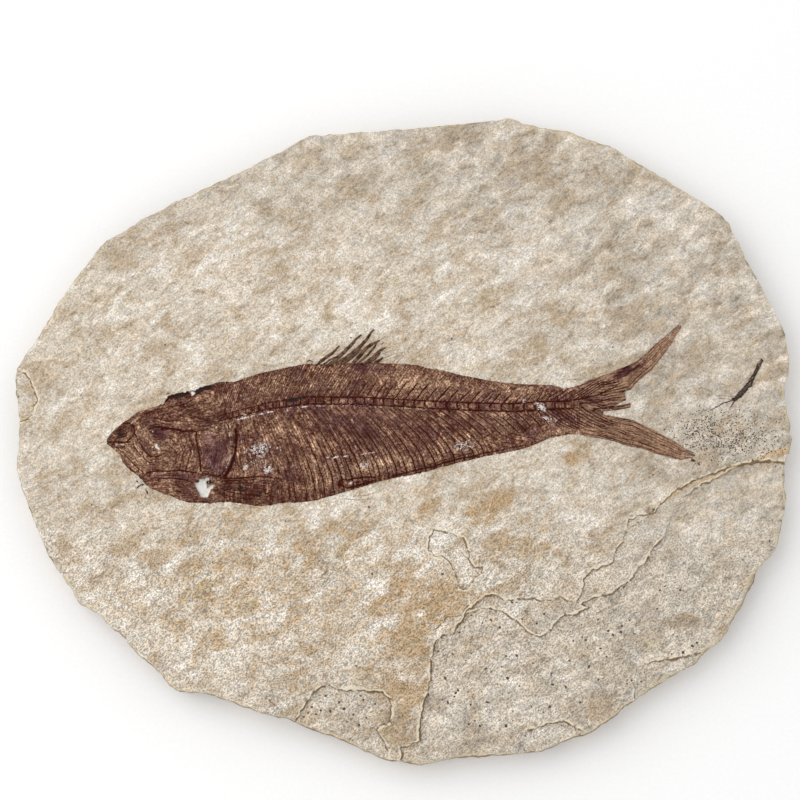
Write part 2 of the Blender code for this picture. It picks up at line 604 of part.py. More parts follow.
def make_twig(collection, slab, cutters):
    bm = bmesh.new()
    bmesh.ops.create_grid(bm, x_segments=TWIG_STEPS, y_segments=TWIG_ROWS, size=1.0)
    crest = bm.verts.layers.float.new("crest")
    widths = [(index / (len(TWIG_LINE) - 1), half) for index, half in enumerate(TWIG_HALF_WIDTHS)]
    for vert in bm.verts:
        along, across = (vert.co.x + 1) / 2, vert.co.y
        middle = point_along(TWIG_LINE, along)
        ahead, behind = min(1, along + TWIG_RUN), max(0, along - TWIG_RUN)
        run = point_along(TWIG_LINE, ahead) - point_along(TWIG_LINE, behind)
        side = Vector((-run.y, run.x)).normalized()
        point = middle + side * across * value_at(widths, along)
        roughness = TWIG_ROUGHNESS * noise.noise(Vector((point.x, point.y, 0.0)) * TWIG_GRAIN)
        vert[crest] = 1 - across ** 2 + roughness
        vert.co = (point.x, point.y, 0.0)
    bed = bed_outline(bm)
    bed_heights = (TWIG_BASE - CLEARANCE, CUTTER_TOP)
    cut(slab, stacked_outlines([bed, bed], bed_heights), "twig_bed", cutters)
    made = bmesh.ops.extrude_face_region(bm, geom=bm.faces[:])["geom"]
    tops = {item for item in made if isinstance(item, bmesh.types.BMVert)}
    for vert in bm.verts:
        if vert in tops:
            height = THICKNESS + TWIG_EDGE_RELIEF + TWIG_RELIEF * vert[crest]
        else:
            height = TWIG_BASE
        vert.co = place(vert.co.x, vert.co.y, height)
    twig = finish_mesh(bm, "plant_fragment", collection)
    twig.data.materials.append(material("carbonised_plant", TWIG_COLOUR, 0.6))


def main():
    for old in list(bpy.data.objects):
        bpy.data.objects.remove(old)
    collection = bpy.data.collections.new("fossil_fish_slab")
    cutters = bpy.data.collections.new("cutters")
    bpy.context.scene.collection.children.link(collection)
    bpy.context.scene.collection.children.link(cutters)
    slab = make_slab(collection, cutters)
    make_fish(collection, slab, cutters)
    make_twig(collection, slab, cutters)


main()
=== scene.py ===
"""Looks for a fossil fish in a slab of split limestone.

The slab lies flat with the fossil face up. X runs from the fish's snout to its tail, Y towards its
back and Z up. Outlines are in millimetres on the split face, counted from a point near the fish's
throat, and are moved to the middle of the slab when a piece is finished.
"""

import json
import math
import random

import bmesh
import bpy
import numpy as np
from bpy.props import FloatProperty, FloatVectorProperty, IntProperty, PointerProperty
from mathutils import Matrix, Vector, noise

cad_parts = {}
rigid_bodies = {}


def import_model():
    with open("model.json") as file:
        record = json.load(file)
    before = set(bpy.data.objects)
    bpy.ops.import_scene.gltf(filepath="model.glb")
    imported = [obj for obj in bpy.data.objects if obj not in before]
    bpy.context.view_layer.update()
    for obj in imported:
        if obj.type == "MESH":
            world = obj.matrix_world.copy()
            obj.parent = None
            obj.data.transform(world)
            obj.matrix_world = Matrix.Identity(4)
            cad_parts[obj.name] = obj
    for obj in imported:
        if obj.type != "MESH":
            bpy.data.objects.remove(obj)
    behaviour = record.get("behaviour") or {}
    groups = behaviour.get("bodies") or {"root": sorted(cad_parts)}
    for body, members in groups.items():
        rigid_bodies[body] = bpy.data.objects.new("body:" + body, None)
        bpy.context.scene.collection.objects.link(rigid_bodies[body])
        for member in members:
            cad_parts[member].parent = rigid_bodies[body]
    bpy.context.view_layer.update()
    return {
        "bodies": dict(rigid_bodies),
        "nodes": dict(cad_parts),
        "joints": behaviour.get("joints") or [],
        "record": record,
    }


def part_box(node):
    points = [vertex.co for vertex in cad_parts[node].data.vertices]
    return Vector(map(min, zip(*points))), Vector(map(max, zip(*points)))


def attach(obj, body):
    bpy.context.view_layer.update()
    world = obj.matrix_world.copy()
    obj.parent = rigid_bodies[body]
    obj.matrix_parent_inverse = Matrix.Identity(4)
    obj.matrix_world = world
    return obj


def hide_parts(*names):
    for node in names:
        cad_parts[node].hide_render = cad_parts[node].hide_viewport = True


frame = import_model()

bl_info = {
    "name": "Fossil Fish Slab",
    "version": (1, 0, 0),
    "blender": (4, 5, 0),
    "location": "3D View > Sidebar > Fossil",
    "description": "Builds a slab of limestone with a fossil fish, a scrap of plant and their surroundings",
    "category": "Object",
}

MM = 0.001

# Slab
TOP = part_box("slab")[1].z / MM
SLAB_EDGE = (
    (-100.5, 17.5), (-86.8, 40.7), (-77.7, 53.4), (-73.4, 54.9), (-71.4, 56.8), (-60.3, 63.1), (-43, 71.6),
    (-24.6, 81.5), (7.8, 84), (28.4, 86.3), (34.1, 84.3), (43.5, 82.4), (54.2, 78.6), (83.7, 59.9),
    (98.8, 28.2), (99.5, 19.8), (99.1, 17.1), (98, 14.5), (98.4, 6.8), (99.4, 4.4), (99.5, 0), (97.6, -5.4),
    (97.1, -11.8), (98, -14.2), (94.8, -27.4), (89.7, -32.6), (88.6, -35.8), (80.4, -50.2), (76.3, -53),
    (73.9, -55.9), (70, -57.8), (55.8, -66.6), (52.6, -69.5), (48.4, -72.3), (44.8, -74.2), (40.4, -75.4),
    (33.7, -78.2), (11.7, -79.8), (4.4, -81.5), (-0.9, -80.5), (-4.8, -80.4), (-12.8, -76.3), (-25.3, -71.7),
    (-28.3, -70.1), (-32.7, -69.3), (-41.6, -66.6), (-48.6, -63.8), (-54.9, -63.6), (-57.7, -62.8),
    (-60.3, -59.7), (-67, -53.7), (-70.3, -49.9), (-74.2, -46.7), (-76.7, -44), (-80, -42.5), (-82.6, -40.6),
    (-83.7, -37.7), (-88.7, -31.9), (-92.9, -23.2), (-98.7, -8.5), (-99, -4.9), (-98.6, -2.9), (-98.7, 4.8),
)
# Where the top edge is worn back: place, reach along the edge, and width
WORN_EDGES = (
    (88, -36, 9, 0.7), (80, -50, 6, 0.8), (68, -60, 12, 0.4), (44, 82, 16, 0.5), (5, -81, 10, 0.4),
    (-80, -42, 6, 0.6),
)
# Layers that have spalled off the split face; the first two end in the same break
LOWER_BREAK = (
    (12.3, -48.9), (9.8, -49.2), (7.9, -50.5), (6.4, -56.8), (6.5, -60.6), (5.9, -63.8), (4.7, -66.3),
    (4.1, -69.5), (3.7, -75.4), (-0.9, -77.3),
)
LEDGE_LINE = (
    (99, -5.6), (97.5, -5.3), (93, -4.9), (90, -5), (87, -5.6), (84.5, -6.2), (81.6, -7.4), (74.5, -9.8),
    (68.1, -13.4), (63.7, -18), (57.1, -20), (55.6, -25.5), (53.6, -28), (52.8, -31), (49.2, -32.5),
    (47.9, -32.6), (45.6, -35.2), (44.9, -38.6), (43.6, -41), (41.6, -40.6), (39.6, -39.5), (37, -40.4),
    (34.6, -40.7), (31.8, -40), (28.5, -40.1), (25.2, -40.4), (23.3, -39), (20.5, -39.3), (15.8, -43.2),
) + LOWER_BREAK
SECOND_LINE = (
    (99, -5.7), (93, -5.1), (87, -5.8), (84.5, -6.6), (80, -9.3), (76, -10.9), (69.6, -15.6), (65.8, -24.5),
    (64.4, -26.1), (62.4, -28.1), (61.7, -30), (59.4, -32.6), (57.7, -34.9), (54.4, -37.1), (52.4, -38.7),
    (47.3, -40), (44.5, -41.6), (46.5, -42.4), (44, -43.7), (40.5, -44.2), (38, -46.3), (36.5, -48.5),
    (34, -49.6), (31.5, -48.5), (28.5, -45.5), (25, -43.3), (21.5, -42.3), (18.5, -42.7), (16, -44),
    (14, -46),
) + LOWER_BREAK
BEYOND_CORNER = ((0, -100), (115, -100), (115, -5.6))
FLAKE_SCAR = (
    (6.3, -24.8), (7.6, -22.5), (12.1, -23.5), (15.3, -24.8), (16.3, -27.4), (16.6, -30), (17.9, -32.3),
    (20.1, -32), (19.8, -33.9), (17.8, -35.2), (16.5, -37.4), (15.2, -38.1), (14.2, -37.7), (13, -34.5),
    (12, -31.9), (9.8, -29.5), (7.5, -29.4), (6.4, -28.1),
)
LOWER_FLAKE = (
    (-26.6, -69.5), (-25.3, -67.3), (-23.7, -65.4), (-22.8, -63.5), (-20.9, -62.2), (-18.4, -61.8),
    (-16.5, -62.8), (-12.7, -62.9), (-7.6, -63.2), (-5.4, -63.2), (-3.8, -64.8), (-3, -67), (-3.3, -70.8),
    (-6.8, -72.6), (-3.7, -78), (-4.5, -86), (-34, -86),
)
LEFT_CHIP = (
    (-104, 19.8), (-100, 18.8), (-97.4, 17.8), (-95.6, 15), (-93.9, 10.6), (-96.2, 5.6), (-104, 4),
)
BOTTOM_SCAR = (
    (27.5, -84), (29.2, -73.8), (33.5, -72), (37, -70.9), (40.7, -70.7), (44.5, -73), (47, -84),
)
CORNER_SCAR = (
    (57, -72), (58.4, -57.4), (60.5, -56.2), (64, -55.6), (69, -54.9), (74.5, -53.7), (84, -49), (84, -72),
)
# Outline, top of what is left
SPALLS = (
    (LEDGE_LINE + BEYOND_CORNER, 8.5), (SECOND_LINE + BEYOND_CORNER, 8), (FLAKE_SCAR, 8.7),
    (LOWER_FLAKE, 8.4), (LEFT_CHIP, 8.6), (BOTTOM_SCAR, 7.6), (CORNER_SCAR, 7.7),
)
# Honey-coloured lips of the broken layers: half width, strength, points
LIPS = (
    (0.75, 1, ((98.4, -1.9), (95.4, -2.7), (92.4, -4.2), (89.5, -5.2))),
    (0.5, 1, ((90, -5), (84.2, -6.4), (79.6, -9.1), (75.7, -10.1), (71.8, -11.7), (68.5, -13.9),
        (66.5, -15.6))),
    (0.3, 0.6, ((89, -5.6), (94, -5.3), (98, -5.4))),
    (0.3, 0.55, ((6.5, -52), (5.9, -60), (5, -66), (4.2, -74))),
    (0.3, 0.5, ((20.2, -39.3), (23.3, -38.8), (28.5, -39.8), (34.6, -40.4), (39.6, -39.3), (43.6, -40.8))),
)
# Where the dark foot (brown staining and painted shadow) and the painted highlight on the rim of a break
# fade: place, radii, turn in degrees, strength
HEALED_BREAKS = (
    (70.5, -17.5, 5, 3.4, 60, 1), (66.5, -22.5, 2.6, 2.4, 0, 0.8), (84, -8.4, 6, 1.2, 12, 0.7),
    (55, -23.5, 3, 4, 0, 0.45), (46, -38, 3, 3, 0, 0.3), (14, -36.5, 2.5, 2, 0, 0.4),
    (58.5, -59.5, 2.4, 5, 0, 0.8), (29, -76, 2, 3, 0, 0.6), (-3.6, -75, 2.2, 3, 0, 0.5),
)
# Hairline breaks in the top layer
CRACKS = (
    ((16.3, -39), (18.3, -40.3), (18.5, -41)), ((16.5, -42), (14, -44.2), (10.8, -45), (9.5, -47), (7, -48)),
    ((-36, -63.8), (-32.4, -66.6), (-30.3, -68.8)), ((58, -22), (60.4, -20.6), (62.2, -19.4), (64, -17)),
    ((91.5, -4.3), (93.5, -2.9), (95.5, -1.9), (97.4, -1.4), (98.8, -2.5)), ((42, 16), (45, 16.1)),
    ((52.5, 50.5), (57.5, 55)), ((59, 51.8), (62, 53.4), (62.6, 51.6), (60.4, 49.4)),
)
# Height of each ring of the broken edge as a share of the top, and how far it stands out
EDGE_RINGS = (
    (0.985, -0.2), (0.955, -0.04), (0.91, 0.02), (0.86, -0.05), (0.78, 0.08), (0.7, -0.14), (0.61, -0.02),
    (0.53, -0.2), (0.445, 0.1), (0.36, -0.1), (0.28, -0.32), (0.2, -0.14), (0.14, -0.3), (0.07, -0.25),
    (0.02, -0.45), (0, -0.7),
)
UNDERSIDE_RINGS = (0.985, 0.955, 0.91, 0.84, 0.74, 0.6, 0.42, 0.2)

# Stains in the stone: place, radii, turn in degrees, strength
RUST_STAINS = (
    (-40, -40, 36, 24, 15, 0.5), (-8, -28, 24, 14, 10, 0.42), (24, -24, 22, 10, 15, 0.36),
    (7, -41, 9, 6.5, 20, 1.3), (0, -37, 6, 4, 0, 1), (1, -50, 7, 8, 0, 1.25), (0, -62, 7.5, 9, 0, 1.2),
    (-1, -72, 5, 7, 0, 1.1), (12, -43, 5, 3.4, 40, 1.1), (-6, -44, 8, 6, 30, 0.6), (-8, -58, 7, 8, 0, 0.5),
    (14, -30, 8, 7, 30, 0.5), (30, -28, 10, 5, 20, 0.35), (-22, -18, 14, 4, 20, 0.35),
    (38, -30, 6, 5, 0, 0.35), (43.5, -4.2, 3.6, 2.1, 20, 1.1), (47, -24, 2.6, 1.9, 0, 0.9),
    (48, -66, 4.4, 3, -20, 1.1), (6, -17, 5, 3, 30, 0.95), (20, -18, 5.4, 3.4, 20, 1),
    (25, -15, 3.6, 2.6, 0, 0.9), (5, -14, 3.4, 2.6, 0, 0.8), (-18, -22, 5, 1.8, 35, 0.8),
    (-49, 17.2, 2.2, 1.4, 10, 0.35), (41.5, 14.8, 2.4, 1, 0, 0.5), (-23, -55, 2.4, 1.6, 20, 0.5),
    (-70.5, -41, 2, 2.6, 0, 0.6), (-38.4, -30.6, 1.3, 1.1, 0, 1.2), (84.5, 15, 5, 3, 30, 0.6),
    (81, -48, 2.2, 1.4, 30, 1.3), (-58, 12.2, 2.6, 0.9, 25, 0.4), (96.4, -3.2, 3.4, 1.5, 22, 1.2),
    (71.5, -45.6, 4, 2.4, -15, 1.25), (15.6, -31, 1.6, 3.2, 25, 0.6), (36, 24, 3, 2, 0, 0.45),
    (4, 28, 2, 1.4, 0, 0.5), (-43, 22, 3, 1.8, 20, 0.4), (1, 52, 2.4, 1.8, 0, 0.4),
    (40, 33, 2.4, 2.6, 0, 0.7),
)
UMBER_STAINS = (
    (73.6, -46.8, 2.5, 1.5, -12, 1.1), (78.3, -43, 1.3, 1, 0, 0.7), (82.6, -49.4, 1.3, 0.8, 40, 1.1),
    (10.8, -65, 1.8, 1.4, 0, 0.7), (12.8, -51, 1.8, 1.2, 20, 0.75), (18.7, -49.7, 1.6, 1.3, 0, 0.7),
    (37.7, -45.7, 2, 1.2, 20, 0.6), (16, -72, 2.6, 1.6, 0, 0.5), (52.5, -64, 2.6, 1.4, -30, 0.8),
    (61.6, -17.4, 1.2, 0.8, 0, 0.8), (-42, 17.5, 1.8, 1, 15, 0.5), (22, -75, 3, 1.4, 0, 0.5),
    (-96.6, -6, 1.2, 3, 10, 0.5), (68, -4.4, 1.4, 0.7, -20, 0.6), (46.2, -23.4, 1.4, 1, 0, 0.6),
)
OLIVE_STAINS = (
    (61, -16, 2.6, 1.8, 20, 0.8), (69, -19, 3.2, 2.6, 0, 0.75), (83, -13, 3.4, 2.2, 20, 0.65),
    (61.5, -52, 3.6, 2.2, 10, 0.7), (-97.4, 5.4, 1.8, 1.6, 0, 0.9), (-52, -38, 4, 2, 20, 0.5),
    (-40, -43, 4, 2.4, 20, 0.55), (-12, 66, 3, 2, 0, 0.55), (8, 72, 3.2, 2, 20, 0.5),
    (16, 62, 2.6, 1.8, 0, 0.5), (60, 41, 2, 1.2, 0, 0.6), (-2, 42, 1.4, 1.2, 0, 0.7),
    (42, 22, 3, 1.8, 0, 0.5), (75, 25, 3.6, 2, 0, 0.4), (-66, -33, 4, 2, 20, 0.45),
    (-32, -25, 3.4, 1.8, 30, 0.5), (9, -36, 2, 1.6, 0, 0.5), (88, -12, 3, 2, 0, 0.4),
    (-20, 33, 3, 1.6, 20, 0.5), (22, 38, 3, 2, 20, 0.4), (-60, 40, 3, 1.6, 20, 0.4), (85, 46, 3, 2, 0, 0.4),
)
PALE_STAINS = (
    (43, -20, 6, 3, 0, 0.7), (-13, 29, 5, 3.4, 0, 0.5), (13, 23, 4, 3, 0, 0.6),
    (-68, -49, 2.6, 1.6, 30, 0.9), (-66, -54, 2.2, 1.5, 30, 0.8), (-74, 3, 5, 3, 0, 0.4),
    (36, 57, 5, 2.4, 20, 0.5), (-1, -57, 4, 3, 0, 0.5), (-20, -35, 6, 4, 30, 0.4), (88, -30, 5, 5, 0, 0.4),
    (12, -63, 4, 3, 0, 0.45), (56, -35, 4, 3, 0, 0.4), (40, -56, 5, 3, 0, 0.35), (76, -30, 5, 4, 0, 0.3),
    (-52, 55, 8, 3, 30, 0.35), (-80, 32, 5, 3, 40, 0.35), (9.5, -26.4, 3, 2, 20, 0.85),
    (14.6, -31, 2.4, 4.2, 25, 0.9), (16, -36, 1.6, 1.6, 0, 0.8), (36, -73.4, 4.4, 1.8, 10, 1),
    (31, -75.4, 2, 2, 0, 0.8), (57.5, -64.4, 3.6, 1.6, 32, 1), (68, -57.2, 4.6, 1.5, 25, 0.9),
    (12, -57.5, 3, 3, 0, 0.5), (28, -51, 4, 2.6, 0, 0.4), (1, -60, 2.2, 2.2, 0, 0.5),
    (44, -22, 4, 2.2, 0, 0.6), (58, -33, 2.4, 1.8, 20, 0.5), (90, -17, 4.4, 3, 40, 0.5),
    (50.6, -30.6, 2.2, 1.6, 0, 0.5), (4, -44, 2.4, 1.2, 20, 0.5),
)
# Where dark grains lie thickly beyond the tail: middle and spread
GRAIN_DRIFTS = (((76.8, 2), (4, 2.8)), ((87.4, 0), (5, 3.2)), ((82.5, 1.4), (7.5, 4.2)))
# Dark grains: one by one in the lower layer
PITS = (
    (17, -44.3), (22.2, -42.7), (22, -45.5), (19.8, -46.3), (27.3, -41.1), (28.5, -41), (30.6, -43.3),
    (29.8, -45.3), (37, -48), (8.7, -53.3), (12.3, -54), (16.9, -53.8), (25.7, -54.5), (28.4, -54.4),
    (32.5, -56.3), (37, -58.8), (37.3, -61.6), (13, -63.7), (11, -66), (16.7, -66.6), (20.9, -66),
    (31.9, -67.1), (36.5, -67.1), (41.6, -55.7), (42.7, -50.7), (45, -49.8), (45.8, -50.5), (46.5, -57.2),
    (51, -54.7), (52.7, -49.2), (54.7, -48.5), (49, -45.4), (55.7, -37.2), (57, -45.6), (58, -48.9),
    (64, -42.7), (64.8, -38), (66.1, -37), (70, -38), (9.8, -34), (14, -48.6), (20.6, -57.6), (55, -47),
    (51.5, -48.2), (63.6, -17.6), (13.6, -63), (12.6, -64.6), (72.6, -52), (73.8, -51.2), (67.4, -54),
    (70.2, -53.6), (56, -61.4), (57.2, -60.6), (58.4, -61.6), (59.6, -60.8), (16.2, -71.4), (17.8, -70.6),
    (19, -71.8), (40.6, -62.2), (44.2, -66), (26, -60), (29, -62), (49.5, -52.6), (33.5, -46.4),
    (24.2, -47.4), (35.4, -44), (10.4, -60), (25.5, -71.8), (48.8, -60.4),
)
FLAKE_PITS = (
    (-19.6, -64.4), (-10.8, -64.4), (-10.2, -65.4), (-16.2, -66), (-15, -67.6), (-18.4, -68.2), (-12.6, -69),
    (-9.4, -69.8), (-20.8, -68), (-24, -68.6), (-23, -67.2), (-22, -68.9), (-25, -69.6), (-14.2, -70.8),
    (-11.2, -71.6), (-7.2, -66.4),
)
STRAY_SPECKS = (
    (-74, 24.6), (-61.6, 25.2), (-48.4, -31), (-79.4, -16.4), (-54.2, -24.4), (-66, -23.8), (-8.9, -17),
    (12.4, 26.8), (93, -25.5), (95.2, -6.3), (-30, -20.6), (63.6, -8.6), (-8, -34), (-25.6, -33.6),
    (28.6, 56), (-44.2, 49), (70.2, 33), (-83, 12), (54, 24.6), (-12, -57),
)

# Fish, from the snout to the root of the tail
BACK_EDGE = (
    (-76.3, 0), (-74.7, 2.4), (-71.5, 5.1), (-68.3, 7.5), (-61.8, 9.5), (-60.5, 11.8), (-57.8, 12.5),
    (-54.2, 13.1), (-51.9, 14.1), (-47.3, 15.4), (-43.7, 15.4), (-36.9, 17.7), (-30, 19.2), (-25.1, 20.2),
    (-22.1, 20), (-17.1, 20.3), (-7.2, 20.4), (3.7, 19.8), (5.7, 19.1), (9.7, 18.5), (14.9, 17.1),
    (24.1, 15.4), (29.4, 14.9), (38.6, 14.5), (41.2, 13.6), (45.1, 14.5),
)
BELLY_EDGE = (
    (-76.3, -0.4), (-74.4, -1.9), (-72.4, -3.5), (-71.8, -5.5), (-69.8, -7.5), (-67.5, -9.1), (-65.6, -11.4),
    (-64, -12.4), (-61.4, -13.4), (-54.9, -15.8), (-49.6, -16), (-45.7, -15.7), (-41.8, -15.9),
    (-37.9, -16.7), (-34.7, -16.7), (-31.4, -15.9), (-26.2, -15.7), (-22.3, -15.2), (-15.1, -13.1),
    (-5.3, -10.1), (4.3, -8.2), (10.2, -6.6), (15.4, -5.2), (21.3, -3.8), (30.4, -2), (34.4, -0.5),
    (37.6, 0.9), (42.3, 1.8), (45, 1.8),
)
BACKBONE = (
    (-75.9, 0), (-70, 0.5), (-62.6, 1.6), (-52, 4.4), (-45, 6.4), (-34.9, 9), (-24.7, 10.5), (-9.4, 10.3),
    (6, 9.4), (17.5, 8.9), (28, 8.6), (34.8, 9.1), (45, 9.4),
)
SNOUT_X, NAPE_X, TAIL_ROOT_X = -75.9, -45, 45.0
HALF_BONE = 0.5
# How far back a rib has run when it reaches the belly, and a spine when it reaches the back
RIB_LEAN = (
    (-76, 0), (-50, 1.5), (-40, 4.5), (-34, 9), (-22, 12.5), (-5, 13.5), (8, 12.5), (20, 10), (45, 0),
)
SPINE_LEAN = ((-76, 0), (-45, 3), (-20, 6), (0, 6.5), (15, 6), (30, 4.5), (45, 0))
VERTEBRA_LENGTH = ((-62, 1.5), (-45, 1.6), (-30, 1.8), (-15, 2.1), (0, 2.7), (30, 2.9), (45, 2.3))
LOWER_ROOT = ((45, 1.8), (47.5, 1.2), (52, 0.4))
UPPER_ROOT = ((45.1, 14.5), (47.8, 15.9), (52.5, 17.5))
ROOT_UNDER_FORK = ((45, 8.9), (51.2, 6.9))
ROOT_OVER_FORK = ((45, 9.9), (51.2, 7.8))
LOWER_LOBE_OUTER = (
    (52, 0.4), (55, -0.4), (57, -1.2), (60.6, -1.8), (65, -3.4), (68.7, -4.4), (70.9, -4.8), (74.3, -4.1),
)
LOWER_LOBE_INNER = (
    (51.2, 6.9), (55, 6.2), (58.9, 5.4), (63, 3.4), (68.5, 0.4), (72.2, -2), (74.5, -3.2),
)
UPPER_LOBE_OUTER = (
    (52.5, 17.5), (58.2, 19.9), (60.2, 21), (62.2, 22.6), (64.9, 25.3), (68.7, 28.3), (71, 30.4),
)
UPPER_LOBE_INNER = (
    (51.2, 7.8), (55, 8.1), (58.3, 8.8), (57.2, 11.9), (59.5, 14.9), (64, 18.7), (67.6, 23.2), (71.8, 29.9),
)
# Gaps torn in the ends of the tail's rays
TAIL_TEARS = (
    ((54, 8.9), (56.6, 9.6), (59.5, 10.2), (59.5, 10.9), (57, 10.6), (55.2, 9.9)),
    ((56.9, 10.2), (56.9, 12.3), (56.2, 12.4), (57.2, 13.3), (60.5, 13.5), (60.5, 10.2)),
    ((67.6, 26.6), (68.9, 27.2), (69.8, 29.6), (69.3, 28.6)),
    ((72.6, -2.7), (75.2, -3.3), (75.2, -3.7), (72.8, -3)),
    ((70.4, -3.5), (75.2, -4), (75.2, -4.3), (71, -3.9)),
)
EYE, EYE_RADII = (-62.6, 1.6), (2.7, 1.8)
GILL_COVER, GILL_COVER_RADII = (-50.4, -2.6), (6.6, 7.2)
LOST_PATCH = (
    (-53.2, -11), (-51.5, -9.9), (-50.3, -9.3), (-49.3, -9.5), (-50.4, -10.7), (-50.2, -11.9),
    (-48.8, -11.5), (-48.3, -11.9), (-49.1, -12.6), (-49.8, -13.7), (-50, -14.5), (-51.7, -14.5),
    (-52.1, -13.2), (-52.7, -12),
)
# Height of the fish's middle over the stone
DOME = ((-76, 0.45), (-62, 0.85), (-45, 0.75), (0, 0.55), (30, 0.5), (50, 0.3), (76, 0.1))

